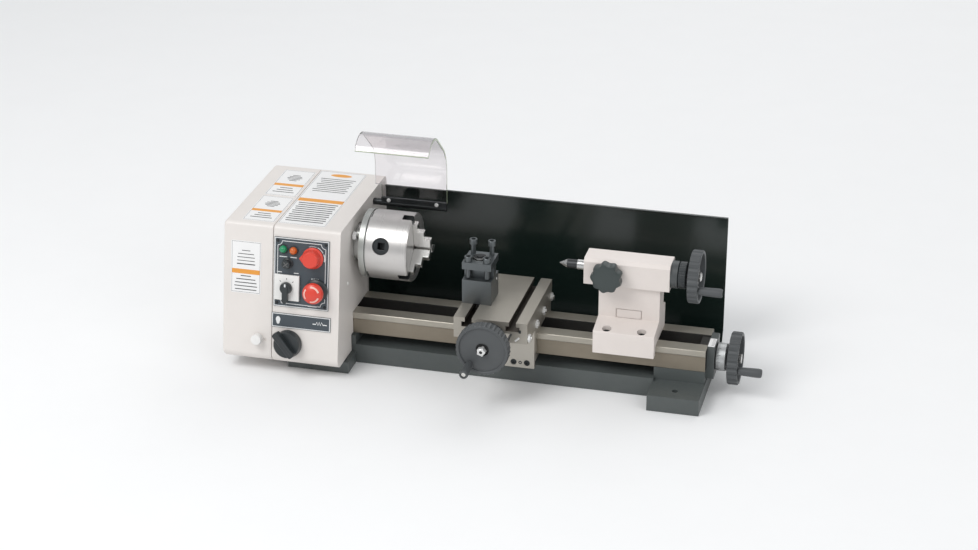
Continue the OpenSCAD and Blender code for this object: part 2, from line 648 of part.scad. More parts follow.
module quill() color(steel) {
    along_x(tail_x0 + 1, tail_x0 + 50, 9, z = axis_z);
    difference() {
        along_x(tail_x0 + 49, tail_x0 + 88, 9, z = axis_z);
        along_x(tail_x0 + 48, tail_x0 + 90, 5 + fit, z = axis_z);
    }
    along_x(tail_x0 - 10, tail_x0 + 1.1, 5.9, z = axis_z);
    translate([tail_x0 - 31.2, 0, axis_z]) rotate([0, 90, 0]) cylinder(h = 9.4, r1 = 0.3, r2 = 5.2);
    along_x(tail_x0 - 21.9, tail_x0 - 9.9, 5.2, z = axis_z);
}

module quill_screw() color(dark) {
    along_x(tail_x0 + 52, tail_x1 + 35, 5, z = axis_z);
    along_x(tail_x1 + 8.3, tail_x1 + 20.5, 15.6, bore = 5, z = axis_z);
    translate([tail_x1 + 21.5, 0, axis_z]) rotate([90, 0, 90]) handwheel(5, -73);
}

module quill_lock() color(black) {
    along_y(-24, -9.4, 3, x = lock_x, z = axis_z);
    difference() {
        along_y(-34, -20, knob_r, x = lock_x, z = axis_z);
        for (a = [0:40:320]) translate([lock_x, -19, axis_z]) rotate([90, 0, 0]) rotate([0, 0, a])
            translate([knob_r + 2, 0, 0]) cylinder(h = 16, r = 4.6);
    }
}

module leadscrew_grip() translate([bed_x1 + 24, 0, lead_z]) rotate([90, 0, 90]) crank_grip(-80);
module cross_grip() translate([slide_mid, slide_y0 - 26.5, cross_z]) rotate([90, 0, 0]) crank_grip(233);
module quill_grip() translate([tail_x1 + 21.5, 0, axis_z]) rotate([90, 0, 90]) crank_grip(-73);

base_casting();
bed();
frame_screws();
backsplash();
headstock_casting();
headstock_cover();
gear_cover();
cover_thumbscrew();
spindle_bearings();
spindle();
spindle_pulley();
spindle_gear();
motor();
motor_pulley();
drive_belt();
control_board();
gear_quadrant();
compound_gear();
input_gear();
feed_clutch();
panel_plates();
signal_lamps();
fuse_holder();
speed_knob();
switch_plate();
switch_lever();
stop_collar();
stop_button();
feed_knob();
blank_labels();
chuck_backplate();
chuck_body();
chuck_scroll();
chuck_pinion_1();
chuck_pinion_2();
chuck_pinion_3();
chuck_jaw_1();
chuck_jaw_2();
chuck_jaw_3();
guard_rod();
guard_shield();
leadscrew();
leadscrew_wheel();
leadscrew_grip();
leadscrew_bracket();
saddle();
apron();
cross_slide();
gib_screws();
cross_screw();
cross_wheel();
cross_grip();
tool_post();
tool_screws();
tool_post_bolt();
tailstock();
quill();
quill_screw();
quill_grip();
quill_lock();
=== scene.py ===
"""Looks of a small bench lathe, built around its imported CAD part."""

import json
import logging
from dataclasses import dataclass, field
from enum import Enum
from math import atan2, cos, hypot, pi, radians, sin, tau
from typing import Callable, Iterable, Optional

import bmesh
import bpy
from mathutils import Matrix, Vector


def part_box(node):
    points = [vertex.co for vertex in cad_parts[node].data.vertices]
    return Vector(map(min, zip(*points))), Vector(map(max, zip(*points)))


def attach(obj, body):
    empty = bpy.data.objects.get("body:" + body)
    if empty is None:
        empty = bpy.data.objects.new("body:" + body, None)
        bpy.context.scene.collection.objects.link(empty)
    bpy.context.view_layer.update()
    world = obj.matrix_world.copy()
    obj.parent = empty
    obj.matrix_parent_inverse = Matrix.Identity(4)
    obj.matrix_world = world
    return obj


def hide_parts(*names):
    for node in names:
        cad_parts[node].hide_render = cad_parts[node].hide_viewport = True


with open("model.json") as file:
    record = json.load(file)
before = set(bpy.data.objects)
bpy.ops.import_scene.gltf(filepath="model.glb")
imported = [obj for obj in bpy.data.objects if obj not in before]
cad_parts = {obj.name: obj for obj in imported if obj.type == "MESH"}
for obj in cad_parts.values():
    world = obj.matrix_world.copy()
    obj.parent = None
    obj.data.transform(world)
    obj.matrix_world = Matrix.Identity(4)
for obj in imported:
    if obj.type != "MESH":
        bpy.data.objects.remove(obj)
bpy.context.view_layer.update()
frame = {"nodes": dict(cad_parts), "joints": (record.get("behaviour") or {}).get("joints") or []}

log = logging.getLogger("lathe")
MM = 0.001
Rgb = tuple[float, float, float]
Point = tuple[float, float]
Mesh = bmesh.types.BMesh
Edge = bmesh.types.BMEdge
Face = bmesh.types.BMFace
Tree = bpy.types.NodeTree
Socket = bpy.types.NodeSocket
EdgeTest = Callable[[Edge], bool]
FaceTest = Callable[[Face], bool]

COAT_ROUGHNESS = 0.12
BUMP_DISTANCE = 0.0004
NOISE_ROUGHNESS = 0.6
TONE_ENDS = (0.3, 0.72)
GROUND_SCALE = {"along": 40.0, "across": 2200.0}
RING_SCALE = 1800.0
HANDLING_SCALE = 35.0
GLOSS_INPUT = (0.6, 1.4)
GLOSS_SPREAD = (0.8, 1.25)


class Grain(Enum):
    """What the surface of a finish feels like close up."""

    ENAMEL = "enamel"
    SAND = "sand cast under paint"
    GROUND_X = "ground along X"
    GROUND_Y = "ground along Y"
    TURNED = "turned round an axis"
    MOULDED = "moulded"
    FILM = "printed film"


class Axis(Enum):
    """The direction that a turned part points along."""

    X = (1.0, 0.0, 0.0)
    Y = (0.0, 1.0, 0.0)
    Z = (0.0, 0.0, 1.0)


@dataclass(frozen=True)
class Finish:
    """One surface finish and the node material that makes it."""

    name: str
    slot: str
    color: Rgb
    worn: Rgb
    rough: float
    metal: float = 0.0
    grain: Grain = Grain.MOULDED
    depth: float = 0.3
    coat: float = 0.0
    clear: float = 0.0
    axis: Axis = Axis.X
    centre: tuple[float, float, float] = (0.0, 0.0, 0.0)
    blotch: float = 14.0

    def material(self) -> bpy.types.Material:
        """Builds the material once and returns it.

        Returns:
            The Blender material of this finish.
        """
        made = bpy.data.materials.get(self.name)
        if made:
            return made
        made = bpy.data.materials.new(self.name)
        made.use_nodes = True
        tree = made.node_tree
        shader = tree.nodes["Principled BSDF"]
        shader.inputs["Metallic"].default_value = self.metal
        shader.inputs["Coat Weight"].default_value = self.coat
        shader.inputs["Coat Roughness"].default_value = COAT_ROUGHNESS
        shader.inputs["Transmission Weight"].default_value = self.clear
        place = tree.nodes.new("ShaderNodeTexCoord").outputs["Object"]
        self._colour(tree, shader, place)
        fine = self._fine(tree, place)
        self._gloss(tree, shader, place, fine)
        bump = tree.nodes.new("ShaderNodeBump")
        bump.inputs["Strength"].default_value = self.depth
        bump.inputs["Distance"].default_value = BUMP_DISTANCE
        tree.links.new(fine, bump.inputs["Height"])
        tree.links.new(bump.outputs["Normal"], shader.inputs["Normal"])
        return made

    def _noise(self, tree: Tree, place: Socket, scale: float, detail: float = 4.0) -> Socket:
        """Adds a noise over the given coordinates.

        Args:
            tree: The material's node tree.
            place: The coordinates that it reads.
            scale: Blotches to the metre.
            detail: Octaves of finer noise.

        Returns:
            The noise's value.
        """
        noise = tree.nodes.new("ShaderNodeTexNoise")
        noise.inputs["Scale"].default_value = scale
        noise.inputs["Detail"].default_value = detail
        noise.inputs["Roughness"].default_value = NOISE_ROUGHNESS
        tree.links.new(place, noise.inputs["Vector"])
        return noise.outputs["Fac"]

    def _colour(self, tree: Tree, shader: bpy.types.Node, place: Socket) -> None:
        """Lets the colour drift between its two tones.

        Args:
            tree: The material's node tree.
            shader: The surface shader.
            place: Object coordinates.
        """
        ramp = tree.nodes.new("ShaderNodeValToRGB")
        for stop, position, tone in zip(ramp.color_ramp.elements, TONE_ENDS, (self.worn, self.color)):
            stop.position = position
            stop.color = (*tone, 1.0)
        tree.links.new(self._noise(tree, place, self.blotch), ramp.inputs["Fac"])
        tree.links.new(ramp.outputs["Color"], shader.inputs["Base Color"])

    def _fine(self, tree: Tree, place: Socket) -> Socket:
        """Adds the fine pattern that roughens the surface.

        Args:
            tree: The material's node tree.
            place: Object coordinates.

        Returns:
            The height of the pattern.
        """
        if self.grain is Grain.TURNED:
            return self._rings(tree, place)
        along, across = GROUND_SCALE["along"], GROUND_SCALE["across"]
        stretches = {Grain.GROUND_X: (along, across, across), Grain.GROUND_Y: (across, along, across)}
        stretch = stretches.get(self.grain)
        if stretch:
            mapping = tree.nodes.new("ShaderNodeMapping")
            mapping.inputs["Scale"].default_value = stretch
            tree.links.new(place, mapping.inputs["Vector"])
            return self._noise(tree, mapping.outputs["Vector"], 1.0, 3.0)
        scale = {Grain.ENAMEL: 420.0, Grain.SAND: 260.0, Grain.FILM: 1500.0}.get(self.grain, 1100.0)
        return self._noise(tree, place, scale)

    def _rings(self, tree: Tree, place: Socket) -> Socket:
        """Adds fine tool marks round the axis and along it.

        Args:
            tree: The material's node tree.
            place: Object coordinates.

        Returns:
            The height of the marks.
        """
        centre = tree.nodes.new("ShaderNodeMapping")
        centre.inputs["Location"].default_value = [-c for c in self.centre]
        tree.links.new(place, centre.inputs["Vector"])
        across = tree.nodes.new("ShaderNodeVectorMath")
        across.operation = "MULTIPLY"
        across.inputs[1].default_value = [1.0 - a for a in self.axis.value]
        along = tree.nodes.new("ShaderNodeVectorMath")
        along.operation = "DOT_PRODUCT"
        along.inputs[1].default_value = self.axis.value
        radius = tree.nodes.new("ShaderNodeVectorMath")
        radius.operation = "LENGTH"
        total = tree.nodes.new("ShaderNodeMath")
        for node in (across, along):
            tree.links.new(centre.outputs["Vector"], node.inputs[0])
        tree.links.new(across.outputs["Vector"], radius.inputs[0])
        tree.links.new(radius.outputs["Value"], total.inputs[0])
        tree.links.new(along.outputs["Value"], total.inputs[1])
        noise = tree.nodes.new("ShaderNodeTexNoise")
        noise.noise_dimensions = "1D"
        noise.inputs["Scale"].default_value = RING_SCALE
        noise.inputs["Detail"].default_value = 2.0
        tree.links.new(total.outputs["Value"], noise.inputs["W"])
        return noise.outputs["Fac"]

    def _gloss(self, tree: Tree, shader: bpy.types.Node, place: Socket, fine: Socket) -> None:
        """Makes the gloss uneven, by fine marks and by broad handling.

        Args:
            tree: The material's node tree.
            shader: The surface shader.
            place: Object coordinates.
            fine: The height of the fine pattern.
        """
        both = tree.nodes.new("ShaderNodeMath")
        both.operation = "ADD"
        tree.links.new(self._noise(tree, place, HANDLING_SCALE), both.inputs[0])
        tree.links.new(fine, both.inputs[1])
        spread = tree.nodes.new("ShaderNodeMapRange")
        spread.inputs["From Min"].default_value, spread.inputs["From Max"].default_value = GLOSS_INPUT
        spread.inputs["To Min"].default_value = max(0.0, self.rough * GLOSS_SPREAD[0])
        spread.inputs["To Max"].default_value = min(1.0, self.rough * GLOSS_SPREAD[1])
        tree.links.new(both.outputs["Value"], spread.inputs["Value"])
        tree.links.new(spread.outputs["Result"], shader.inputs["Roughness"])


# ---- Finishes ----


SPINDLE_CENTRE = (0.0, 0.0, 0.137)
SCREW_CENTRE = (0.0, 0.0, 0.041)
CREAM = Finish(
    "cream enamel", "cream_paint", (0.79, 0.745, 0.71), (0.74, 0.70, 0.665), 0.42, grain=Grain.ENAMEL,
    depth=0.16, coat=0.15,
)
CREAM_CAST = Finish(
    "cream enamel on casting", "cream_paint", (0.80, 0.735, 0.695), (0.74, 0.675, 0.635), 0.45,
    grain=Grain.SAND, depth=0.3, coat=0.1,
)
DARK_CAST = Finish(
    "dark grey enamel", "grey_paint", (0.088, 0.10, 0.098), (0.07, 0.08, 0.079), 0.42, grain=Grain.SAND,
    depth=0.3, coat=0.1,
)
BLACK_SHEET = Finish(
    "black sheet enamel", "black_paint", (0.008, 0.016, 0.0135), (0.006, 0.012, 0.010), 0.22,
    grain=Grain.ENAMEL, depth=0.02, coat=0.3,
)
GROUND_BED = Finish(
    "ground bed ways", "ground_iron", (0.47, 0.44, 0.385), (0.37, 0.345, 0.29), 0.36, metal=0.75,
    grain=Grain.GROUND_X, depth=0.22,
)
BED_SIDE = Finish(
    "planed bed side", "ground_iron", (0.30, 0.262, 0.205), (0.235, 0.20, 0.155), 0.5, metal=0.5,
    grain=Grain.GROUND_X, depth=0.3,
)
GROUND_SLIDE = Finish(
    "ground slide", "ground_iron", (0.45, 0.42, 0.37), (0.38, 0.355, 0.31), 0.4, metal=0.7,
    grain=Grain.GROUND_Y, depth=0.22,
)
APRON_FACE = Finish(
    "planed apron", "ground_iron", (0.56, 0.53, 0.475), (0.50, 0.47, 0.42), 0.42, metal=0.6,
    grain=Grain.GROUND_X, depth=0.2,
)
# Painted shade: a near-black colour on the casting between the rails, where shade falls in the recess.
GAP_SHADE = Finish(
    "painted shade between the ways", "ground_iron", (0.045, 0.043, 0.04), (0.028, 0.027, 0.025), 0.55,
    metal=0.4, grain=Grain.SAND, depth=0.4,
)
# Painted shade: a near-black colour on the walls inside slots, where shade falls.
SLOT_SHADE = Finish(
    "painted shade in the slots", "ground_iron", (0.09, 0.075, 0.06), (0.05, 0.042, 0.035), 0.5, metal=0.5,
    grain=Grain.GROUND_Y, depth=0.3,
)
COLLAR = Finish(
    "dark grey collar", "cream_paint", (0.075, 0.082, 0.084), (0.06, 0.066, 0.068), 0.4, grain=Grain.ENAMEL,
    depth=0.15,
)
# Painted shade: near-black for hub recesses, a nut's bore and a bolt's socket, where shade falls.
RECESS_SHADE = Finish("painted shade in recesses", "wheel_plastic", (0.012, 0.013, 0.014), (0.008, 0.009, 0.01), 0.5, depth=0.2)
RAW_CAST = Finish(
    "raw casting", "raw_iron", (0.20, 0.20, 0.20), (0.14, 0.14, 0.14), 0.6, metal=0.6, grain=Grain.SAND,
    depth=0.5,
)
CHUCK_STEEL = Finish(
    "turned chuck steel", "bright_steel", (0.64, 0.62, 0.605), (0.59, 0.575, 0.56), 0.32, metal=0.85,
    grain=Grain.TURNED, depth=0.12, centre=SPINDLE_CENTRE,
)
PLATE_STEEL = Finish(
    "turned plate steel", "bright_steel", (0.50, 0.51, 0.49), (0.44, 0.45, 0.43), 0.34, metal=0.85,
    grain=Grain.TURNED, depth=0.18, centre=SPINDLE_CENTRE,
)
BRIGHT = Finish(
    "bright steel", "bright_steel", (0.72, 0.71, 0.69), (0.62, 0.61, 0.59), 0.24, metal=0.95, depth=0.1,
)
WHITE_METAL = Finish(
    "zinc plated steel", "bright_steel", (0.80, 0.80, 0.79), (0.72, 0.72, 0.71), 0.38, metal=0.45, depth=0.1,
)
CENTRE_STEEL = Finish(
    "turned centre", "bright_steel", (0.62, 0.62, 0.61), (0.5, 0.5, 0.49), 0.25, metal=0.95,
    grain=Grain.TURNED, depth=0.16, centre=SPINDLE_CENTRE,
)
DIAL_STEEL = Finish(
    "satin dial", "bright_steel", (0.60, 0.61, 0.61), (0.54, 0.55, 0.55), 0.4, metal=0.8, grain=Grain.TURNED,
    depth=0.15, centre=SCREW_CENTRE,
)
QUILL_NECK = Finish(
    "dark quill neck", "bright_steel", (0.075, 0.078, 0.08), (0.05, 0.052, 0.054), 0.35, metal=0.8,
    grain=Grain.TURNED, depth=0.2, centre=SPINDLE_CENTRE,
)
# Black oxide on the screws, nuts and rod; the same colour also paints shade into the chuck's jaw slots and
# onto a small recess on the slide.
OXIDE_AND_SHADE = Finish(
    "black oxide steel and painted shade", "black_steel", (0.055, 0.06, 0.062), (0.035, 0.038, 0.04), 0.36, metal=0.75,
    depth=0.22,
)
POST_STEEL = Finish(
    "blued tool post steel", "black_steel", (0.15, 0.165, 0.17), (0.115, 0.125, 0.13), 0.36, metal=0.8,
    grain=Grain.GROUND_X, depth=0.16,
)
WHEEL = Finish(
    "wheel plastic", "wheel_plastic", (0.082, 0.088, 0.092), (0.066, 0.071, 0.074), 0.47, depth=0.3,
)
KNOB = Finish(
    "knob plastic", "knob_plastic", (0.028, 0.034, 0.037), (0.02, 0.025, 0.027), 0.35, depth=0.2, coat=0.1,
)
LOCK = Finish(
    "lock knob plastic", "wheel_plastic", (0.04, 0.053, 0.052), (0.032, 0.042, 0.041), 0.4, depth=0.22,
    coat=0.1,
)
RED = Finish(
    "red plastic", "red_plastic", (0.76, 0.062, 0.035), (0.68, 0.05, 0.028), 0.36, depth=0.12, coat=0.2,
)
PALE_RED = Finish("pale arcs", "red_plastic", (0.86, 0.55, 0.48), (0.82, 0.5, 0.43), 0.5, depth=0.15)
GREEN_LENS = Finish(
    "green lens", "lamp_lens", (0.01, 0.36, 0.15), (0.008, 0.27, 0.11), 0.25, depth=0.12, coat=0.5,
    clear=0.15,
)
AMBER_LENS = Finish(
    "amber lens", "lamp_lens", (0.78, 0.17, 0.02), (0.65, 0.12, 0.012), 0.25, depth=0.12, coat=0.5,
    clear=0.15,
)
PANEL = Finish(
    "panel film", "panel_film", (0.062, 0.078, 0.092), (0.053, 0.067, 0.08), 0.4, grain=Grain.FILM,
    depth=0.12,
)
PRINT = Finish(
    "white print", "label_film", (0.82, 0.83, 0.83), (0.76, 0.77, 0.77), 0.45, grain=Grain.FILM, depth=0.1,
)
LABEL = Finish(
    "label film", "label_film", (0.87, 0.865, 0.86), (0.83, 0.825, 0.82), 0.35, grain=Grain.FILM, depth=0.1,
)
BAND = Finish(
    "orange band", "label_film", (0.82, 0.36, 0.06), (0.76, 0.31, 0.045), 0.4, grain=Grain.FILM, depth=0.1,
)
INK = Finish(
    "dark print", "label_film", (0.05, 0.05, 0.052), (0.035, 0.035, 0.037), 0.5, grain=Grain.FILM, depth=0.1,
)
WHITE = Finish(
    "white plastic", "white_plastic", (0.84, 0.83, 0.81), (0.79, 0.78, 0.76), 0.35, depth=0.14, coat=0.2,
)
GEAR = Finish(
    "cut brass", "gear_brass", (0.62, 0.47, 0.20), (0.5, 0.37, 0.15), 0.35, metal=0.9, grain=Grain.TURNED,
    depth=0.15, centre=SPINDLE_CENTRE,
)
RUBBER = Finish(
    "belt rubber", "belt_rubber", (0.02, 0.02, 0.021), (0.014, 0.014, 0.015), 0.7, grain=Grain.GROUND_X,
    depth=0.4,
)
BOARD = Finish(
    "circuit board", "board_green", (0.018, 0.13, 0.05), (0.012, 0.09, 0.035), 0.4, grain=Grain.FILM,
    depth=0.2,
)
MOTOR = Finish(
    "motor enamel", "motor_black", (0.028, 0.028, 0.03), (0.02, 0.02, 0.022), 0.45, grain=Grain.ENAMEL,
    depth=0.2,
)
SHEET = Finish(
    "clear sheet", "clear_sheet", (0.91, 0.88, 0.89), (0.89, 0.86, 0.87), 0.03, depth=0.02, clear=1.0,
)
SHEET_EDGE = Finish(
    "cut sheet edge", "clear_sheet", (0.52, 0.60, 0.42), (0.40, 0.48, 0.31), 0.25, depth=0.1, clear=0.25,
    coat=0.4,
)
FLOOR = Finish("studio floor", "", (0.93, 0.93, 0.93), (0.92, 0.92, 0.92), 0.9, grain=Grain.FILM, depth=0.02)


# ---- Mesh tools ----


def mesh_from(node: str) -> Mesh:
    """Copies a CAD node's mesh in millimetres, with its corners merged and flat faces joined.

    Args:
        node: The CAD node to copy.

    Returns:
        A new bmesh.
    """
    bm = bmesh.new()
    bm.from_mesh(frame["nodes"][node].data)
    bmesh.ops.scale(bm, vec=(1 / MM,) * 3, verts=bm.verts)
    bmesh.ops.remove_doubles(bm, verts=bm.verts, dist=0.002)
    bmesh.ops.dissolve_degenerate(bm, edges=bm.edges, dist=0.002)
    bmesh.ops.dissolve_limit(bm, angle_limit=radians(0.5), verts=bm.verts, edges=bm.edges)
    return bm


def ease(
    bm: Mesh, width: float, segments: int = 2, angle: float = 35.0, where: Optional[EdgeTest] = None,
) -> None:
    """Rounds the sharp edges of a mesh.

    Args:
        bm: The mesh, in millimetres.
        width: Width of the rounding.
        segments: Faces across the rounding.
        angle: Least angle between two faces, in degrees, for their edge to be rounded.
        where: Picks the edges, where not all of them are meant.
    """
    sharp = [
        e for e in bm.edges
        if e.is_manifold and e.calc_face_angle(0.0) > radians(angle) and (where is None or where(e))
    ]
    if sharp:
        bmesh.ops.bevel(
            bm, geom=sharp, offset=width, offset_type="OFFSET", segments=segments, profile=0.5,
            affect="EDGES", clamp_overlap=True, material=-1,
        )


def turned(profile: Iterable[Point], steps: int = 96, closed: bool = False) -> Mesh:
    """Turns a profile of radius and height round the local Z axis.

    Args:
        profile: Radius and height of each corner, in millimetres.
        steps: Faces round the axis.
        closed: Whether the last corner joins the first, as on a ring.

    Returns:
        A new bmesh.
    """
    bm = bmesh.new()
    verts = [bm.verts.new((r, 0.0, h)) for r, h in profile]
    pairs = list(zip(verts, verts[1:])) + ([(verts[-1], verts[0])] if closed else [])
    edges = [bm.edges.new(p) for p in pairs]
    bmesh.ops.spin(
        bm, geom=verts + edges, cent=(0, 0, 0), axis=(0, 0, 1), angle=tau, steps=steps, use_merge=True,
    )
    bmesh.ops.remove_doubles(bm, verts=bm.verts, dist=0.001)
    bmesh.ops.recalc_face_normals(bm, faces=bm.faces)
    return bm


def prism(outline: Iterable[Point], low: float, high: float) -> Mesh:
    """Raises a flat outline into a solid along the local Z axis.

    Args:
        outline: Corners in order, in millimetres.
        low: Height of its underside.
        high: Height of its top.

    Returns:
        A new bmesh.
    """
    bm = bmesh.new()
    face = bm.faces.new([bm.verts.new((x, y, low)) for x, y in outline])
    raised = bmesh.ops.extrude_face_region(bm, geom=[face])
    top = [v for v in raised["geom"] if isinstance(v, bmesh.types.BMVert)]
    bmesh.ops.translate(bm, vec=(0, 0, high - low), verts=top)
    bmesh.ops.recalc_face_normals(bm, faces=bm.faces)
    return bm


def bar(low: Iterable[float], high: Iterable[float], round_by: float = 0.2) -> Mesh:
    """Makes a box between two corners with eased edges.

    Args:
        low: Lowest corner, in millimetres.
        high: Highest corner.
        round_by: Width of the rounded edges.

    Returns:
        A new bmesh.
    """
    low, high = Vector(low), Vector(high)
    bm = bmesh.new()
    bmesh.ops.create_cube(bm, size=1.0)
    bmesh.ops.scale(bm, vec=high - low, verts=bm.verts)
    bmesh.ops.translate(bm, vec=(low + high) / 2, verts=bm.verts)
    ease(bm, round_by)
    return bm


def arc(centre: Point, radius: float, start: float, end: float, steps: int = 8) -> list[Point]:
    """Corners of an arc, from one angle to another in degrees.

    Args:
        centre: Centre of the arc.
        radius: Its radius.
        start: First angle.
        end: Last angle.
        steps: Straight pieces in it.

    Returns:
        The corners in order.
    """
    angles = [radians(start + (end - start) * i / steps) for i in range(steps + 1)]
    return [(centre[0] + radius * cos(a), centre[1] + radius * sin(a)) for a in angles]


def rounded(width: float, height: float, radius: float) -> list[Point]:
    """Corners of a rounded rectangle about the origin.

    Args:
        width: Its whole width.
        height: Its whole height.
        radius: Radius of its corners.

    Returns:
        The corners in order.
    """
    x, y = width / 2 - radius, height / 2 - radius
    corners = ((x, y, 0), (-x, y, 90), (-x, -y, 180), (x, -y, 270))
    return [point for cx, cy, start in corners for point in arc((cx, cy), radius, start, start + 90)]


def rectangle(x0: float, y0: float, x1: float, y1: float) -> list[Point]:
    """Corners of a rectangle, from its lowest corner round to its top left one."""
    return [(x0, y0), (x1, y0), (x1, y1), (x0, y1)]


def frame_lines(width: float, height: float, line: float) -> list[list[Point]]:
    """Four bars round a rectangle about the origin.

    Args:
        width: Outer width.
        height: Outer height.
        line: Width of each bar.

    Returns:
        The four outlines.
    """
    x, y = width / 2, height / 2
    return [
        rectangle(-x, y - line, x, y), rectangle(-x, -y, x, -y + line),
        rectangle(-x, -y + line, -x + line, y - line), rectangle(x - line, -y + line, x, y - line),
    ]


def ring_strip(inner: float, outer: float, start: float, end: float, steps: int = 24) -> list[Point]:
    """Outline of a stretch of a flat ring, between two angles in degrees."""
    return arc((0, 0), outer, start, end, steps) + arc((0, 0), inner, end, start, steps)


def joined(*parts: Mesh) -> Mesh:
    """Puts several meshes into the first one.

    Args:
        parts: The meshes. All but the first are freed.

    Returns:
        The first mesh.
    """
    for part in parts[1:]:
        scrap = bpy.data.meshes.new("scrap")
        part.to_mesh(scrap)
        parts[0].from_mesh(scrap)
        bpy.data.meshes.remove(scrap)
        part.free()
    return parts[0]


def shifted(bm: Mesh, x: float = 0.0, y: float = 0.0, z: float = 0.0, turn: float = 0.0) -> Mesh:
    """Turns a mesh about local Z by degrees, then moves it, and returns it."""
    place = Matrix.Translation((x, y, z)) @ Matrix.Rotation(radians(turn), 4, "Z")
    bmesh.ops.transform(bm, matrix=place, verts=bm.verts)
    return bm


def fluted(bm: Mesh, count: int, depth: Callable[[float, float], float]) -> Mesh:
    """Draws corners in towards local Z, in even waves round it.

    Args:
        bm: The mesh.
        count: Waves round it.
        depth: Deepest draw as a share of the radius, from a corner's radius and height.

    Returns:
        The same mesh.
    """
    for vert in bm.verts:
        deep = depth(hypot(vert.co.x, vert.co.y), vert.co.z)
        if deep:
            pull = 1 - deep * (0.5 + 0.5 * cos(count * atan2(vert.co.y, vert.co.x)))
            vert.co.x *= pull
            vert.co.y *= pull
    return bm


def repeated(make: Callable[[], Mesh], count: int, radius: float = 0.0, first: float = 0.0) -> Mesh:
    """Repeats a mesh evenly round local Z.

    Args:
        make: Makes one copy.
        count: How many copies.
        radius: How far each is moved out along its own X first.
        first: Angle of the first, in degrees.

    Returns:
        All copies in one bmesh.
    """
    return joined(*[shifted(shifted(make(), x=radius), turn=first + 360 * i / count) for i in range(count)])


def standing(direction: Iterable[float], at: Iterable[float], up: Iterable[float] = (0, 0, 1)) -> Matrix:
    """Placing of a part modelled in millimetres with Z as its own axis.

    Args:
        direction: Where its Z axis points.
        at: Where its origin goes, in metres.
        up: Direction that its Y axis leans to.

    Returns:
        The matrix that brings it into the row frame.
    """
    z = Vector(direction).normalized()
    x = Vector(up).cross(z)
    x = x.normalized() if x.length > 1e-6 else Vector((1, 0, 0))
    y = z.cross(x)
    turn = Matrix((x, y, z)).transposed().to_4x4()
    return Matrix.Translation(Vector(at)) @ turn @ Matrix.Scale(MM, 4)


IN_PLACE = Matrix.Scale(MM, 4)


def piece(
    name: str, bm: Mesh, body: str, finish: Finish, place: Matrix = IN_PLACE,
    stands_for: Iterable[str] = (), smooth: float = 32.0, others: tuple[tuple[Finish, FaceTest], ...] = (),
) -> bpy.types.Object:
    """Makes a finished object from a mesh and lets it ride on its body.

    Args:
        name: The piece's name.
        bm: Its mesh, in millimetres. It is freed.
        body: The CAD body that it moves with.
        finish: Its finish.
        place: Brings the mesh into the row frame.
        stands_for: CAD nodes that it replaces.
        smooth: Faces that meet at less than this angle are shaded as one.
        others: Further finishes, each with a test for the faces that take it.

    Returns:
        The new object.
    """
    bmesh.ops.transform(bm, matrix=place, verts=bm.verts)
    bm.normal_update()
    for face in bm.faces:
        face.smooth = True
        face.material_index = next((i for i, (_, test) in enumerate(others, 1) if test(face)), 0)
    for edge in bm.edges:
        edge.smooth = edge.is_manifold and edge.calc_face_angle(pi) < radians(smooth)
    mesh = bpy.data.meshes.new(name)
    bm.to_mesh(mesh)
    bm.free()
    for each in (finish, *(other for other, _ in others)):
        mesh.materials.append(each.material())
    obj = bpy.data.objects.new(name, mesh)
    bpy.context.scene.collection.objects.link(obj)
    shading = obj.modifiers.new("even shading", "WEIGHTED_NORMAL")
    shading.keep_sharp = True
    shading.weight = 80
    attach(obj, body)
    if stands_for:
        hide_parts(*stands_for)
    log.info("%s rides on %s, %d faces", name, body, len(mesh.polygons))
    return obj


def softened(
    node: str, body: str, finish: Finish, width: float, segments: int = 2, **rest: object,
) -> bpy.types.Object:
    """Copies a CAD node with its edges eased, and shows the copy in its place.

    Args:
        node: The CAD node.
        body: The body that it belongs to.
        finish: Its finish.
        width: Width of the rounding in millimetres.
        segments: Faces across the rounding.
        rest: Passed on to piece().

    Returns:
        The new object.
    """
    bm = mesh_from(node)
    ease(bm, width, segments)
    return piece(f"{node}_eased", bm, body, finish, stands_for=(node,), **rest)


def within(place: Matrix, radius: float, low: float = -1000.0, at: float = 0.0) -> FaceTest:
    """Makes a test for the faces near the axis of a placed part.

    Args:
        place: The part's placing.
        radius: Greatest distance from the axis, in millimetres.
        low: Least height along the axis.
        at: Distance of the tested axis from the part's own, along its X.

    Returns:
        The test.
    """
    back = place.inverted()

    def test(face: Face) -> bool:
        """Whether a face lies inside."""
        middle = back @ face.calc_center_median()
        return hypot(middle.x - at, middle.y) < radius and middle.z > low

    return test


def dress(finish: Finish, *nodes: str) -> None:
    """Gives CAD nodes that keep their mesh a finish.

    Args:
        finish: The finish.
        nodes: Names of the CAD nodes.
    """
    for node in nodes:
        slots = frame["nodes"][node].material_slots
        for index in range(len(slots)):
            slots[index].material = finish.material()


def joint(name: str) -> dict:
    """Returns the record's joint of that name."""
    return next(j for j in frame["joints"] if j["name"] == name)


def spot_of(name: str) -> Vector:
    """Place of a joint, in millimetres."""
    return Vector(joint(name)["pos_m"]) / MM


def size_of(node: str) -> tuple[Vector, Vector]:
    """Lowest and highest corner of a CAD node, in millimetres."""
    low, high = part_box(node)
    return low / MM, high / MM


# ---- Small hardware ----


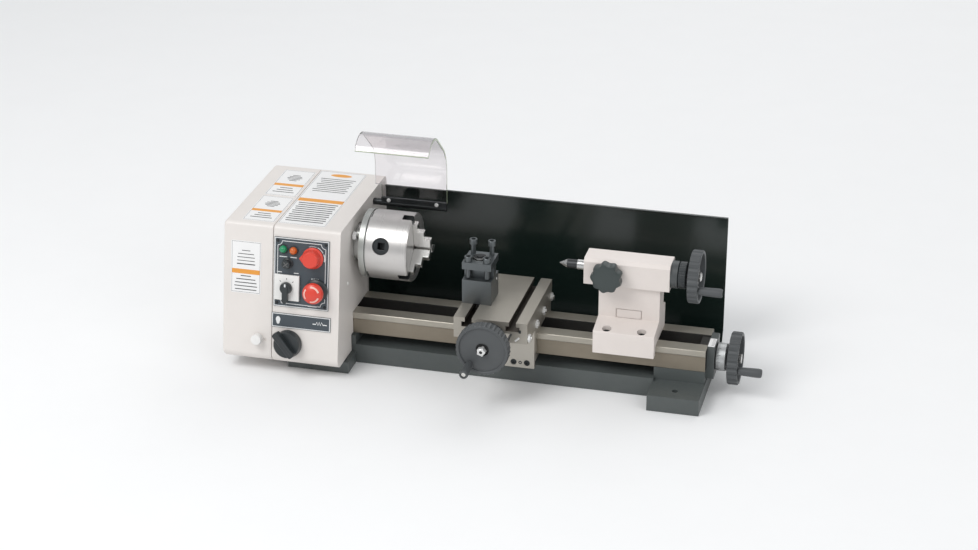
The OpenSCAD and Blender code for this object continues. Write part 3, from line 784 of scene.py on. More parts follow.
def socket_screw(radius: float, head: float, socket: float, rim: float = 0.35) -> Mesh:
    """A socket head, with its underside at Z = 0.

    Args:
        radius: Radius of the head.
        head: Height of the head.
        socket: Radius of the hexagon socket over its corners.
        rim: Rounding of the head's top.

    Returns:
        A new bmesh.
    """
    mouth = socket * 1.15
    outside = [
        (0, 0), (radius, 0), (radius, head - rim), (radius - rim, head), (mouth, head), (mouth, head - 0.3),
    ]
    bm = turned(outside, 36)
    bore = bmesh.new()
    bmesh.ops.create_circle(bore, cap_ends=True, segments=6, radius=socket)
    bmesh.ops.translate(bore, vec=(0, 0, head * 0.45), verts=bore.verts)
    rims = [e for e in bore.edges if e.is_boundary]
    raised = bmesh.ops.extrude_edge_only(bore, edges=rims)
    top = [v for v in raised["geom"] if isinstance(v, bmesh.types.BMVert)]
    bmesh.ops.translate(bore, vec=(0, 0, head * 0.55 - 0.3), verts=top)
    bmesh.ops.reverse_faces(bore, faces=bore.faces)
    lid = turned([(socket * 0.86, head - 0.32), (socket * 1.16, head - 0.32)], 36)
    return joined(bm, bore, lid)


def pan_screw(radius: float, slot: float) -> Mesh:
    """A domed screw head with a driver slot, its underside at Z = 0.

    Args:
        radius: Radius of the head.
        slot: Width of the slot.

    Returns:
        A new bmesh.
    """
    dome = [(0, 0), (radius, 0), (radius, 0.4), (radius * 0.85, 0.8), (radius * 0.5, 1.05), (0, 1.15)]
    line = bar((-radius * 0.8, -slot / 2, 1.0), (radius * 0.8, slot / 2, 1.19), 0.04)
    return joined(turned(dome, 32), shifted(line, turn=35))


def hex_nut(radius: float, height: float, bore: float) -> Mesh:
    """A hexagon nut about Z, with the end of its bolt.

    Args:
        radius: Radius over the nut's corners.
        height: Height of the nut.
        bore: Radius of the bolt.

    Returns:
        A new bmesh.
    """
    bm = prism(arc((0, 0), radius, 0, 300, 5), 0, height)
    ease(bm, 0.35, 2, 35)
    bolt = [(0, -0.1), (bore, -0.1), (bore, 0.8), (bore * 0.8, 1.1), (0, 1.1)]
    return joined(bm, turned([(r, height + z) for r, z in bolt], 24))


# ---- Headstock ----


@dataclass
class FrontFace:
    """The leaning front of the covers, found from the speed knob's joint."""

    def __post_init__(self) -> None:
        """Reads the plane."""
        self.out = Vector(joint("speed_knob_turn")["axis"]).normalized()
        self.start = Vector(joint("speed_knob_turn")["pos_m"])

    def at(self, x: float, z: float, lift: float = 0.0) -> Matrix:
        """Placing on the face, Z outwards and Y up the slope.

        Args:
            x: Place along X, in millimetres.
            z: Height above the bench.
            lift: Distance off the face.

        Returns:
            The placing matrix.
        """
        y = self.start.y - self.out.z * (z * MM - self.start.z) / self.out.y
        return standing(self.out, Vector((x * MM, y, z * MM)) + self.out * lift * MM)

    def of(self, name: str, lift: float = 0.0) -> Matrix:
        """Placing on the face at a joint's place."""
        spot = spot_of(name)
        return self.at(spot.x, spot.z, lift)


@dataclass
class Label:
    """A blank label: a film with a thin frame, bars in place of words, and an orange band."""

    name: str
    size: Point
    band_at: float
    band: float
    rows: list[tuple[float, float, float]]
    film: float = 0.3
    ink: float = 0.04
    band_ink: float = 0.05
    margin: float = 1.0
    line: float = 0.3

    def build(self, place: Matrix, stands_for: Iterable[str] = ()) -> None:
        """Builds the film, the bars and the band.

        Args:
            place: Placing of the label's middle.
            stands_for: CAD nodes that the label replaces.
        """
        width, height = self.size
        lines = frame_lines(width - 2 * self.margin, height - 2 * self.margin, self.line)
        lines += [rectangle(-half, z - thick / 2, half, z + thick / 2) for z, half, thick in self.rows]
        ink = joined(*[prism(line, self.film, self.film + self.ink) for line in lines])
        side = width / 2 - self.margin - 0.2
        stripe = rectangle(-side, self.band_at - self.band / 2, side, self.band_at + self.band / 2)
        piece(
            f"{self.name}_sheet", prism(rounded(width, height, 2.0), 0.0, self.film), "frame", LABEL, place,
            stands_for=stands_for,
        )
        piece(f"{self.name}_bars", ink, "frame", INK, place)
        piece(f"{self.name}_band", prism(stripe, self.film, self.film + self.band_ink), "frame", BAND, place)


@dataclass
class Headstock:
    """Covers, what is inside them, and their labels."""

    front: FrontFace
    edge: float = 5.5
    seam_edge: float = 1.0
    hole_front: float = 16.0
    hole_back: float = 72.0
    hole_top: float = 10.0
    top_z: float = 176.0
    side_label: Point = (-280.0, 124.7)
    side_label_size: Point = (36.0, 61.6)
    small_labels: tuple[tuple[float, float, float, float], ...] = (
        (-288.6, -250.4, 18.9, 96.6), (-288.6, -250.4, -57.1, 14.6),
    )
    tall_label: tuple[float, float, float, float] = (-246.2, -189.4, -56.6, 103.6)
    badge: Point = (13.0, 4.2)
    side_screw: Point = (-0.046, 0.104)

    def build(self) -> None:
        """Builds the whole headstock."""
        self.covers()
        self.insides()
        self.labels()
        self.fastenings()

    def covers(self) -> None:
        """The two covers with a generous outer edge and a tighter seam."""
        for node, outer in (("headstock_cover", True), ("gear_cover", False)):
            low, high = size_of(node)
            wall_x, seam_x = (high.x, low.x) if outer else (low.x, high.x)
            bm = mesh_from(node)

            def on_wall(edge: Edge) -> bool:
                """Whether an edge lies round the outside of the end wall.

                Args:
                    edge: The edge, in millimetres.

                Returns:
                    True on the wall's outline, and not round the hole in it.
                """
                flat = all(abs(v.co.x - wall_x) < 0.02 for v in edge.verts)
                hole = all(
                    low.y + self.hole_front < v.co.y < self.hole_back and v.co.z < high.z - self.hole_top
                    for v in edge.verts
                )
                return flat and not hole

            def on_seam(edge: Edge) -> bool:
                """Whether an edge lies round the open side."""
                return all(abs(v.co.x - seam_x) < 0.02 for v in edge.verts)

            ease(bm, self.edge, 5, 60, on_wall)
            ease(bm, self.seam_edge, 2, 60, on_seam)
            piece(f"{node}_eased", bm, "frame", CREAM, stands_for=(node,), smooth=40)

    def insides(self) -> None:
        """Finishes of the parts that the covers hide, seen only with the covers away."""
        softened("headstock_casting", "frame", RAW_CAST, 0.8)
        dress(BRIGHT, "spindle_bearings", "motor_pulley", "feed_clutch")
        dress(CENTRE_STEEL, "spindle")
        dress(OXIDE_AND_SHADE, "spindle_pulley", "gear_quadrant")
        dress(GEAR, "spindle_gear", "compound_gear", "input_gear")
        dress(MOTOR, "motor")
        dress(BOARD, "control_board")
        softened("drive_belt", "frame", RUBBER, 0.2, 1)

    def labels(self) -> None:
        """The labels on the end cover's front and on top of both covers."""
        width, height = self.side_label_size
        lines = ((0.17, 0.17), (0.235, 0.32), (0.30, 0.36), (0.365, 0.38), (0.43, 0.36))
        rows = [(-height * down, width * half, 1.0) for down, half in lines]
        picture = ((9.0, 5.0, 0.8), (5.0, 9.5, 0.8), (1.0, 10.5, 0.8), (-3.0, 10.5, 0.8), (-7.0, 11.0, 1.2))
        rows += [(height * 0.17 + up, half, thick) for up, half, thick in picture]
        side = Label("side_label", self.side_label_size, -height * 0.085, 5.4, rows)
        side.build(self.front.at(*self.side_label), ("blank_labels",))
        for number, spread in enumerate(self.small_labels, 1):
            (width, height), place = self.on_top(spread)
            lines = ((0.2, 0.2), (0.28, 0.26), (0.36, 0.34))
            rows = [(-height * down, width * half, 1.6) for down, half in lines]
            disc = enumerate((0.12, 0.2, 0.24, 0.2, 0.12))
            rows += [(height * (0.1 + 0.05 * i), width * half, 1.5) for i, half in disc]
            Label(f"small_label_{number}", (width, height), -height * 0.08, height * 0.085, rows).build(place)
        self.tall()

    def on_top(self, spread: tuple[float, float, float, float]) -> tuple[Point, Matrix]:
        """Size and placing of a label on top of the covers.

        Args:
            spread: Its ends along X and its ends along Y.

        Returns:
            Width and height, and the placing of its middle.
        """
        x0, x1, y0, y1 = spread
        middle = ((x0 + x1) / 2 * MM, (y0 + y1) / 2 * MM, self.top_z * MM)
        return (x1 - x0, y1 - y0), standing((0, 0, 1), middle, up=(0, 1, 0))

    def tall(self) -> None:
        """The tall label on the main cover, with its oval badge, band and bars."""
        (width, height), place = self.on_top(self.tall_label)
        rows = [(height * (0.36 - 0.034 * i), width * (0.38 - 0.03 * (i % 3)), 1.5) for i in range(8)]
        rows += [(-height * (0.115 + 0.036 * i), width * (0.42 - 0.025 * (i % 2)), 2.0) for i in range(10)]
        label = Label("tall_label", (width, height), -height * 0.055, height * 0.055, rows)
        label.build(place)
        angles = [tau * i / 40 for i in range(40)]
        oval = [(self.badge[0] * cos(a), self.badge[1] * sin(a)) for a in angles]
        badge = prism(oval, label.film, label.film + label.band_ink)
        piece("tall_label_badge", shifted(badge, y=height * 0.435), "frame", BAND, place)

    def fastenings(self) -> None:
        """The end cover's knurled screw and the small screw on the right face."""
        head = turned([(0, 0.5), (5.7, 0.5), (6.3, 1.1), (6.3, 8.1), (5.6, 9.0), (4.6, 9.3), (0, 9.3)], 96)
        fluted(head, 32, lambda around, z: 0.035 if around > 6.2 else 0.0)
        stem = turned([(0, -10), (2.2, -10), (2.5, -9.6), (2.5, 0.6), (0, 0.6)], 32)
        piece(
            "cover_screw_knurled", joined(head, stem), "cover_thumbscrew", WHITE,
            self.front.of("cover_thumbscrew_turn"), stands_for=("cover_thumbscrew",),
        )
        wall_x = size_of("headstock_cover")[1].x
        screw = turned([(0, 0), (2.3, 0), (2.3, 0.25), (1.6, 0.9), (0, 1.2)], 24)
        piece(
            "side_screw", screw, "frame", WHITE,
            standing((1, 0, 0), (wall_x * MM - 0.0001, *self.side_screw)),
        )


@dataclass
class ControlPanel:
    """The printed panel and what is mounted on it."""

    front: FrontFace
    centre: Point = (-213.2, 124.0)
    size: Point = (65.4, 81.6)
    thick: float = 1.3
    margin: float = 0.9
    plate_centre: Point = (-212.5, 67.5)
    plate_size: Point = (70.4, 17.2)
    plate_thick: float = 1.0
    switch_top: float = 4.82
    screw_at: Point = (28.6, 36.6)
    bolt_y: float = 20.0
    lamps: tuple[Point, ...] = ((-234.7, 151.0), (-222.6, 150.3))
    fuse: Point = (-229.6, 134.7)
    stop: Point = (-194.6, 106.6)
    line: float = 0.7
    inset: float = 4.2
    notch: float = 5.2
    ink: float = 0.08

    def build(self) -> None:
        """Builds the panel and everything on it."""
        self.plates()
        self.border()
        self.scales()
        self.symbols()
        self.screws()
        self.signals()
        self.speed_knob()
        self.switch()
        self.stop_button()
        self.feed_knob()

    def print_on(
        self, name: str, shapes: list[list[Point]], at: Point, lift: float, finish: Finish = PRINT,
    ) -> None:
        """Lays printed shapes on a plate.

        Args:
            name: The piece's name.
            shapes: Outlines, in millimetres from the place.
            at: Place on the front face.
            lift: Height of the plate's surface.
            finish: Finish of the print.
        """
        ink = joined(*[prism(shape, 0, self.ink) for shape in shapes])
        piece(name, ink, "frame", finish, self.front.at(*at, lift))

    def plates(self) -> None:
        """The panel plate and the feed plate with white margins."""
        bm = mesh_from("panel_plates")
        ease(bm, 0.25, 2, 60)
        piece("panel_plates_eased", bm, "frame", PANEL, stands_for=("panel_plates",))
        for name, at, size, lift in (
            ("panel", self.centre, self.size, self.thick),
            ("feed", self.plate_centre, self.plate_size, self.plate_thick),
        ):
            lines = frame_lines(size[0] - self.margin, size[1] - self.margin, self.margin)
            self.print_on(f"{name}_margin", lines, at, lift)

    def border(self) -> None:
        """The thin inner border, with a quarter circle round each corner screw."""
        x, y = self.size[0] / 2 - self.inset, self.size[1] / 2 - self.inset
        notch, line = self.notch, self.line / 2
        shapes = [rectangle(-x + notch, s * y - line, x - notch, s * y + line) for s in (-1, 1)]
        shapes += [rectangle(s * x - line, -y + notch, s * x + line, y - notch) for s in (-1, 1)]
        for sx, sy, start in ((1, 1, 180), (-1, 1, 270), (-1, -1, 0), (1, -1, 90)):
            strip = ring_strip(notch - line, notch + line, start, start + 90)
            shapes.append([(sx * x + px, sy * y + py) for px, py in strip])
        self.print_on("panel_border", shapes, self.centre, self.thick)

    def scales(self) -> None:
        """The speed scale round its knob and ticks round the switch."""
        spot = spot_of("speed_knob_turn")
        shapes = [ring_strip(13.2, 13.7 + 0.3 * i, 112 - 44 * i, 112 - 44 * i - 38) for i in range(3)]
        self.print_on("speed_scale", shapes, (spot.x, spot.z), self.thick)
        knob = spot_of("switch_lever_turn")
        ticks = [
            [(x * cos(a) - y * sin(a), x * sin(a) + y * cos(a)) for x, y in rectangle(9.5, -0.35, 11.5, 0.35)]
            for a in (radians(45), radians(90), radians(135))
        ]
        self.print_on("switch_ticks", ticks, (knob.x, knob.z), self.switch_top, INK)

    def symbols(self) -> None:
        """Generic bars under the controls and the two feed symbols."""
        x, z = self.centre
        dots = [(s - 0.55, -0.8, s + 0.55, 0.8) for s in (-3.6, -1.2, 1.2, 3.6)]
        marks = (
            ("speed_marks", dots, (x + 16.5, z - 4.6)),
            ("lamp_marks", [(-4.5, -0.5, 4.5, 0.5), (8.5, -0.5, 16, 0.5)], (x - 21.8, z + 18.0)),
            ("stop_marks", [(-6, -0.6, 4.5, 0.6)], (x + 14.5, z - 36.4)),
            ("switch_marks", [(-13, -0.5, -7, 0.5), (7.5, -0.5, 13, 0.5)], (-229.4, 124.0)),
        )
        for name, bars, at in marks:
            self.print_on(name, [rectangle(*each) for each in bars], at, self.thick)
        angles = [tau * i / 28 for i in range(28)]
        blob = [(2.6 * cos(a) * (1 + 0.14 * sin(3 * a)) - 27.5, 4.6 * sin(a)) for a in angles]
        zigzag = [
            (-8.5, -0.4), (-4.6, -0.4), (-3.6, 2.2), (-2.0, -1.2), (-0.6, 2.4), (0.8, -1.2), (2.2, 2.4),
            (3.7, -0.4), (8.5, -0.4),
        ]
        band = [(x + 22.5, z + 0.55) for x, z in zigzag] + [(x + 22.5, z - 0.55) for x, z in reversed(zigzag)]
        self.print_on("feed_symbols", [blob, band], self.plate_centre, self.plate_thick)

    def screws(self) -> None:
        """The corner screws, with the bed bolts that share their node."""
        x, y = self.screw_at
        heads = [shifted(pan_screw(1.75, 0.45), dx, dy) for dx in (-x, x) for dy in (-y, y)]
        piece(
            "panel_screws", joined(*heads), "frame", OXIDE_AND_SHADE, self.front.at(*self.centre, self.thick),
            stands_for=("frame_screws",),
        )
        low, high = size_of("frame_screws")
        bolts = []
        for x in (low.x + 4.6, high.x - 4.6):
            for y in (-self.bolt_y, self.bolt_y):
                bolt = socket_screw(4.6, 5.0, 2.5)
                over = Matrix.Translation((x, y, 12)) @ Matrix.Rotation(pi, 4, "X")
                bmesh.ops.transform(bolt, matrix=over, verts=bolt.verts)
                bolts.append(joined(bolt, shifted(turned([(2.6, 0), (2.6, 34), (0, 34)], 24), x, y, 12)))
        piece("bed_bolts", joined(*bolts), "frame", OXIDE_AND_SHADE)

    def signals(self) -> None:
        """Green and amber lamps on dark bezels, and the fuse holder."""
        lens = [(0, 1.4), (4.3, 1.5), (4.3, 3.3), (4.1, 5.0), (3.3, 6.5), (1.9, 7.45), (0, 7.7)]
        bezel = [(4.4, 1.35), (5.5, 1.35), (5.5, 2.2), (4.9, 2.8), (4.4, 2.8)]
        for number, (at, finish) in enumerate(zip(self.lamps, (GREEN_LENS, AMBER_LENS)), 1):
            place = self.front.at(*at)
            stands_for = ("signal_lamps",) if number == 1 else ()
            piece(f"lamp_lens_{number}", turned(lens, 48), "frame", finish, place, stands_for=stands_for)
            piece(f"lamp_bezel_{number}", turned(bezel, 48, closed=True), "frame", KNOB, place)
        cap = [(0, 0.05), (6.5, 0.05), (6.5, 1.2), (6.1, 1.7), (5.3, 2.2), (5.1, 7.4), (4.7, 8.0), (0, 8.0)]
        slot = [shifted(bar((-3.6, -0.5, 7.95), (3.6, 0.5, 8.15), 0.05), turn=t) for t in (40, 130)]
        place = self.front.at(*self.fuse, self.thick)
        piece("fuse_cap", turned(cap, 64), "frame", KNOB, place, stands_for=("fuse_holder",))
        piece("fuse_slot", joined(*slot), "frame", RAW_CAST, place)

    def speed_knob(self) -> None:
        """The red knob with a pointer wing on its skirt."""
        knob = turned([
            (0, -9), (2.9, -9), (2.9, 1.75), (12.2, 1.75), (12.5, 2.2), (12.3, 3.2), (10.7, 4.6), (9.8, 12.6),
            (9.3, 13.7), (8.3, 14.4), (0, 14.55),
        ], 128)
        fluted(knob, 24, lambda around, z: 0.02 if 9.0 < around < 11.0 and z > 4.0 else 0.0)
        outline = [(-13.9, -0.3), (-9.5, -5.6), (-7.5, -5.6), (-7.5, 5.6), (-9.5, 5.6), (-13.9, 0.3)]
        wing = prism(outline, 2.2, 9.5)
        ease(wing, 0.8, 3, 30)
        place = self.front.of("speed_knob_turn")
        piece("speed_knob_moulding", joined(knob, wing), "speed_knob", RED, place, stands_for=("speed_knob",))

    def switch(self) -> None:
        """The lever switch on its square white plate."""
        softened("switch_plate", "frame", WHITE, 0.9, 3)
        hub = turned([
            (0, -9), (2.9, -9), (2.9, 5.2), (7.0, 5.2), (7.2, 5.8), (7.0, 8.6), (6.2, 10.6), (5.2, 11.0),
            (0, 11.0),
        ], 64)
        lever = prism([
            (-3.2, 2.0), (-3.2, -14.5), *arc((0, -14.5), 2.6, 180, 360, 10), (3.2, -14.5), (3.2, 2.0),
        ], 6.4, 12.2)
        ease(lever, 0.9, 3, 30)
        place = self.front.of("switch_lever_turn")
        body = "switch_lever"
        piece("switch_lever_moulding", joined(hub, lever), body, KNOB, place, stands_for=("switch_lever",))
        piece("switch_pointer", prism(rectangle(-0.9, 2.2, 0.9, 5.6), 11.0, 11.08), body, PRINT, place)

    def stop_button(self) -> None:
        """The mushroom button with three pale arcs on its crown."""
        place = self.front.at(*self.stop)
        collar = turned([
            (3.2, 1.45), (13.3, 1.45), (13.6, 1.8), (13.5, 4.7), (12.1, 6.0), (8.8, 6.7), (8.6, 8.3),
            (3.2, 8.3),
        ], 96, closed=True)
        piece("stop_collar_moulding", collar, "frame", KNOB, place, stands_for=("stop_collar",))
        crown = [(11.5, 13.1), (12.2, 13.9), (12.25, 15.5), (11.2, 18.4), (8.5, 20.5), (4.5, 21.7), (0, 22.1)]
        button = turned([(0, -10), (2.9, -10), (2.9, 12.6), (7.0, 13.0), *crown], 96)
        piece("stop_button_moulding", button, "stop_button", RED, place, stands_for=("stop_button",))
        starts = [start + step for start in (20, 140, 260) for step in range(0, 78, 6)]
        ink = joined(*[prism(ring_strip(7.7, 9.5, start, start + 6.0, 1), 19.2, 20.4) for start in starts])
        for vert in ink.verts:
            off = hypot(vert.co.x, vert.co.y) - 8.5
            crown_z = 20.5 - max(off, 0.0) * 0.78 + max(-off, 0.0) * 0.3
            vert.co.z = crown_z + 0.3 if vert.co.z > 20 else crown_z - 0.6
        piece("stop_button_arcs", ink, "stop_button", PALE_RED, place)

    def feed_knob(self) -> None:
        """The charcoal selector with a raised diagonal bar."""
        place = self.front.of("feed_knob_turn")
        disc = turned([
            (0, -11), (2.9, -11), (2.9, 0.7), (16.0, 0.7), (16.3, 1.1), (16.3, 3.0), (15.3, 9.0), (14.5, 9.8),
            (0, 9.9),
        ], 96)
        handle = prism([
            (-15.2, -2.8), (-13.6, -4.1), (18.5, -4.1), (19.4, 0.0), (18.5, 4.1), (-13.6, 4.1), (-15.2, 2.8),
        ], 9.0, 17.9)
        ease(handle, 1.2, 3, 25)
        knob = joined(disc, shifted(handle, turn=130))
        groove = shifted(bar((-12.5, -0.6, 17.85), (17.0, 0.6, 17.99), 0.05), turn=130)
        piece("feed_knob_moulding", knob, "feed_knob", KNOB, place, stands_for=("feed_knob",))
        piece("feed_knob_line", groove, "feed_knob", INK, place)


# ---- Chuck and guard ----


@dataclass
class Chuck:
    """The scroll chuck on its back plate."""

    jaws: tuple[int, ...] = (1, 2, 3)
    steps: tuple[Point, ...] = ((-100.5, 33.0), (-95.0, 23.0), (-88.0, 13.0))
    radius: float = 39.6
    slots_from: float = -0.1007
    slot_half: float = 4.9
    nut_at: float = 32.0

    def build(self) -> None:
        """Builds the chuck."""
        softened("chuck_backplate", "spindle", PLATE_STEEL, 0.6, 2, smooth=25)
        backs = [self.along(number).inverted() for number in self.jaws]

        def slot(face: Face) -> bool:
            """Whether a face lies in one of the jaw slots, which take painted shade.

            Args:
                face: The face, in metres.

            Returns:
                True for a wall or the floor of a slot.
            """
            middle = face.calc_center_median()
            around = hypot(middle.y, middle.z - SPINDLE_CENTRE[2]) / MM
            places = [back @ middle for back in backs]
            inside = any(abs(place.x) < self.slot_half and place.z > 2.0 for place in places)
            return inside and around < self.radius and middle.x < self.slots_from

        # The jaw slots are painted dark with the oxide colour as shade.
        softened("chuck_body", "spindle", CHUCK_STEEL, 0.5, 2, smooth=25, others=((OXIDE_AND_SHADE, slot),))
        dress(OXIDE_AND_SHADE, "chuck_scroll")
        self.nuts()
        for number in self.jaws:
            self.jaw(number)
            softened(f"chuck_pinion_{number}", f"pinion_{number}", OXIDE_AND_SHADE, 0.7, 2)

    def along(self, number: int) -> Matrix:
        """Placing on the spindle's axis, with Z along a jaw's travel."""
        return standing(joint(f"jaw_{number}_slide")["axis"], (0, 0, SPINDLE_CENTRE[2]), up=(1, 0, 0))

    def nuts(self) -> None:
        """Three nuts behind the back plate."""
        back = size_of("chuck_backplate")[0].x
        nuts = repeated(lambda: hex_nut(5.2, 4.6, 2.6), 3, self.nut_at, 35.0)
        place = standing((-1, 0, 0), (back * MM, 0, SPINDLE_CENTRE[2]))
        piece("backplate_nuts", nuts, "spindle", WHITE_METAL, place)

    def jaw(self, number: int) -> None:
        """One stepped jaw with crisp eased edges and ribs over its steps.

        Args:
            number: The jaw's number.
        """
        softened(f"chuck_jaw_{number}", f"jaw_{number}", BRIGHT, 0.35, 2)
        ribs = [
            bar((-4.1, x + shift, r - 0.3), (4.1, x + shift + 1.1, r + 0.5), 0.12)
            for x, r in self.steps for shift in (0.9, 3.4)
        ]
        piece(f"jaw_ribs_{number}", joined(*ribs), f"jaw_{number}", BRIGHT, self.along(number))


@dataclass
class Guard:
    """The clear guard on its hinge rod."""

    screw_x: tuple[float, ...] = (-148.0, -90.0)
    screw_z: float = 0.168
    lip_depth: float = 4.0

    def build(self) -> None:
        """Builds the rod, the sheet and its screws."""
        softened("guard_rod", "guard", OXIDE_AND_SHADE, 0.5, 2)
        low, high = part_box("guard_shield")
        front = low.y / MM + self.lip_depth

        def cut_edge(face: Face) -> bool:
            """Whether a face is a cut edge of the sheet.

            Args:
                face: The face, in metres.

            Returns:
                True on either side and on the free end.
            """
            side = abs(face.normal.x) > 0.9
            at_front = face.calc_center_median().y < front * MM
            return side or (at_front and face.normal.y < -0.3 and face.normal.z < 0.4)

        def lip(edge: Edge) -> bool:
            """Whether an edge runs along the free end."""
            first, last = edge.verts
            return max(first.co.y, last.co.y) < front and abs(first.co.x - last.co.x) > 10.0

        bm = mesh_from("guard_shield")
        ease(bm, 0.9, 2, 60, lip)
        ease(bm, 0.25, 1, 60)
        piece(
            "guard_sheet", bm, "guard", SHEET, stands_for=("guard_shield",), others=((SHEET_EDGE, cut_edge),),
            smooth=30,
        )
        rod_front = size_of("guard_rod")[0].y * MM + 0.0002
        for number, x in enumerate(self.screw_x, 1):
            screw = turned([(0, -1.5), (2.4, -1.5), (2.4, 0.3), (1.9, 0.9), (0, 1.1)], 24)
            place = standing((0, -1, 0), (x * MM, rod_front, self.screw_z))
            piece(f"guard_screw_{number}", screw, "guard", WHITE_METAL, place)


# ---- Base, bed and splash plate ----


@dataclass
class Base:
    """Base casting, bed and splash plate."""

    way_strip: float = 0.0518
    gap_half: float = 0.0135
    rib_top: float = 0.0585

    def build(self) -> None:
        """Builds the base, the bed and the splash plate."""
        softened("base_casting", "frame", DARK_CAST, 0.9, 3)

        def side(face: Face) -> bool:
            """Whether a face belongs to the recessed side of a rail.

            Args:
                face: The face, in metres.

            Returns:
                True below the ground ways, on either side of a rail.
            """
            middle = face.calc_center_median()
            return middle.z < self.way_strip and abs(face.normal.y) > 0.7 and abs(middle.y) > 0.02

        def shaded_gap(face: Face) -> bool:
            """Whether a face belongs to the space between the rails, which is painted in shade."""
            middle = face.calc_center_median()
            return abs(middle.y) < self.gap_half and (middle.z < self.rib_top or abs(face.normal.y) > 0.7)

        bm = mesh_from("bed")
        ease(bm, 0.3, 2, 30)
        # The faces between the rails take a near-black painted shade.
        piece(
            "bed_ground", bm, "frame", GROUND_BED, stands_for=("bed",),
            others=((GAP_SHADE, shaded_gap), (BED_SIDE, side)),
        )
        softened("backsplash", "frame", BLACK_SHEET, 0.35, 2)


# ---- Handwheels ----


@dataclass
class Handwheel:
    """A moulded handwheel with a fluted rim, a hub nut and a crank pin, along its own Z."""

    radius: float = 30.3
    width: float = 12.0
    flutes: int = 36
    flute: float = 1.5
    shaft: float = 5.0
    pin_at: float = 23.5
    dished: bool = False

    def rim_pull(self, angle: float) -> float:
        """Share of the radius that is left at an angle round the rim."""
        return 1.0 - self.flute * max(0.0, cos(self.flutes * angle)) ** 0.5 / self.radius

    def profile(self) -> list[Point]:
        """Works out the wheel's section.

        Returns:
            Radius and height of each corner, from the back of the hub.
        """
        r, w = self.radius, self.width
        back = [(self.shaft, -4.0), (8.6, -4.0), (9.0, -3.6), (9.0, 1.5)]
        rim = [
            (r - 5, 1.5), (r - 4.6, 0.3), (r - 3.9, 0.0), (r - 0.9, 0.0), (r - 0.1, 0.8), (r, 1.6),
            (r, w - 1.6),
            (r - 0.1, w - 0.8), (r - 0.9, w), (r - 3.2, w), (r - 3.9, w - 0.5), (r - 4.1, w - 1.1),
        ]
        if self.dished:
            web = [
                (r - 4.3, 5.6), (r - 5.2, 5.05), (11.0, 5.0), (9.6, 5.3), (9.0, 6.2), (8.8, w - 3.4),
                (8.2, w - 3.0),
            ]
        else:
            web = [
                (r - 4.3, w - 1.9), (r - 5.2, w - 2.1), (8.0, w - 2.1), (7.5, w - 2.4), (7.2, w - 3.0),
                (7.1, w - 4.6), (6.6, w - 4.8),
            ]
        return [*back, *rim, *web, (self.shaft, web[-1][1])]

    def on_pin(self, bm: Mesh, crank: float) -> Mesh:
        """Moves a mesh from the wheel's axis to its crank pin.

        Args:
            bm: The mesh.
            crank: Angle of the crank pin in degrees.

        Returns:
            The same mesh.
        """
        place = Matrix.Rotation(radians(crank), 4, "Z") @ Matrix.Translation((self.pin_at, 0, 0))
        bmesh.ops.transform(bm, matrix=place, verts=bm.verts)
        return bm

    def wheel(self, crank: float) -> Mesh:
        """Makes the wheel.

        Args:
            crank: Angle of the crank pin in degrees.

        Returns:
            A new bmesh.
        """
        bm = turned(self.profile(), self.flutes * 6, closed=True)
        for vert in bm.verts:
            if hypot(vert.co.x, vert.co.y) > self.radius - 0.6:
                pull = self.rim_pull(atan2(vert.co.y, vert.co.x))
                vert.co.x *= pull
                vert.co.y *= pull
        parts = [turned([(0, 4.5), (2.95, 4.5), (2.95, 37.4), (2.5, 38.0), (0, 38.0)], 32)]
        if self.dished:
            w = self.width
            parts.append(turned([(0, 3.0), (6.0, 3.0), (6.0, w - 0.8), (5.5, w - 0.2), (0, w - 0.2)], 40))
        return joined(bm, *[self.on_pin(part, crank) for part in parts])

    def grip(self, crank: float) -> Mesh:
        """Makes the grip that turns on the crank pin.

        Args:
            crank: Angle of the crank pin in degrees.

        Returns:
            A new bmesh.
        """
        start = self.width + 0.4
        bm = turned([
            (3.05, start), (4.1, start), (4.4, start + 0.6), (4.9, start + 8), (5.2, 30.0), (5.3, 35.5),
            (5.0, 38.2),
            (4.4, 39.2), (3.05, 39.4),
        ], 48, closed=True)
        return self.on_pin(bm, crank)

    def mount(self, name: str, body: str, place: Matrix, crank: float, stands_for: str) -> None:
        """Shows the wheel and its grip on their bodies.

        Args:
            name: Name of the feed that they turn.
            body: Body of the wheel.
            place: The wheel's placing.
            crank: Angle of the crank pin in degrees.
            stands_for: CAD node that the wheel replaces.
        """
        pin = place @ Matrix.Rotation(radians(crank), 4, "Z")
        # The hub recess takes a near-black painted shade; the crank pin takes bright steel.
        others = (
            (BRIGHT, within(pin, 4.0, 37.0, self.pin_at)),
            (RECESS_SHADE, within(place, 9.05 if self.dished else 7.4, 0.0)),
        )
        wheel = self.wheel(crank)
        piece(f"{name}_wheel_moulding", wheel, body, WHEEL, place, stands_for=(stands_for,), others=others)
        grip = f"{name}_grip"
        piece(f"{grip}_moulding", self.grip(crank), grip, WHEEL, place, stands_for=(grip,))

    def hub_nut(self) -> Mesh:
        """The bright nut that holds the wheel on its shaft."""
        return shifted(hex_nut(5.6, 3.2, 2.6), z=self.width - 4.4)


def dial(radius: float, low: float, high: float, bore: float, flute: float = 0.0, count: int = 60) -> Mesh:
    """A dial ring along Z, with fine flutes where it is gripped.

    Args:
        radius: Outer radius.
        low: Start along Z.
        high: End along Z.
        bore: Radius of the hole.
        flute: Depth of the flutes, 0 for a plain ring.
        count: Flutes round it.

    Returns:
        A new bmesh.
    """
    profile = [
        (bore, low), (radius - 0.8, low), (radius, low + 0.8), (radius, high - 0.8), (radius - 0.8, high),
        (bore, high),
    ]
    bm = turned(profile, count * 4 if flute else 96, closed=True)
    return fluted(bm, count, lambda around, z: flute / radius if around > radius - 0.1 else 0.0)


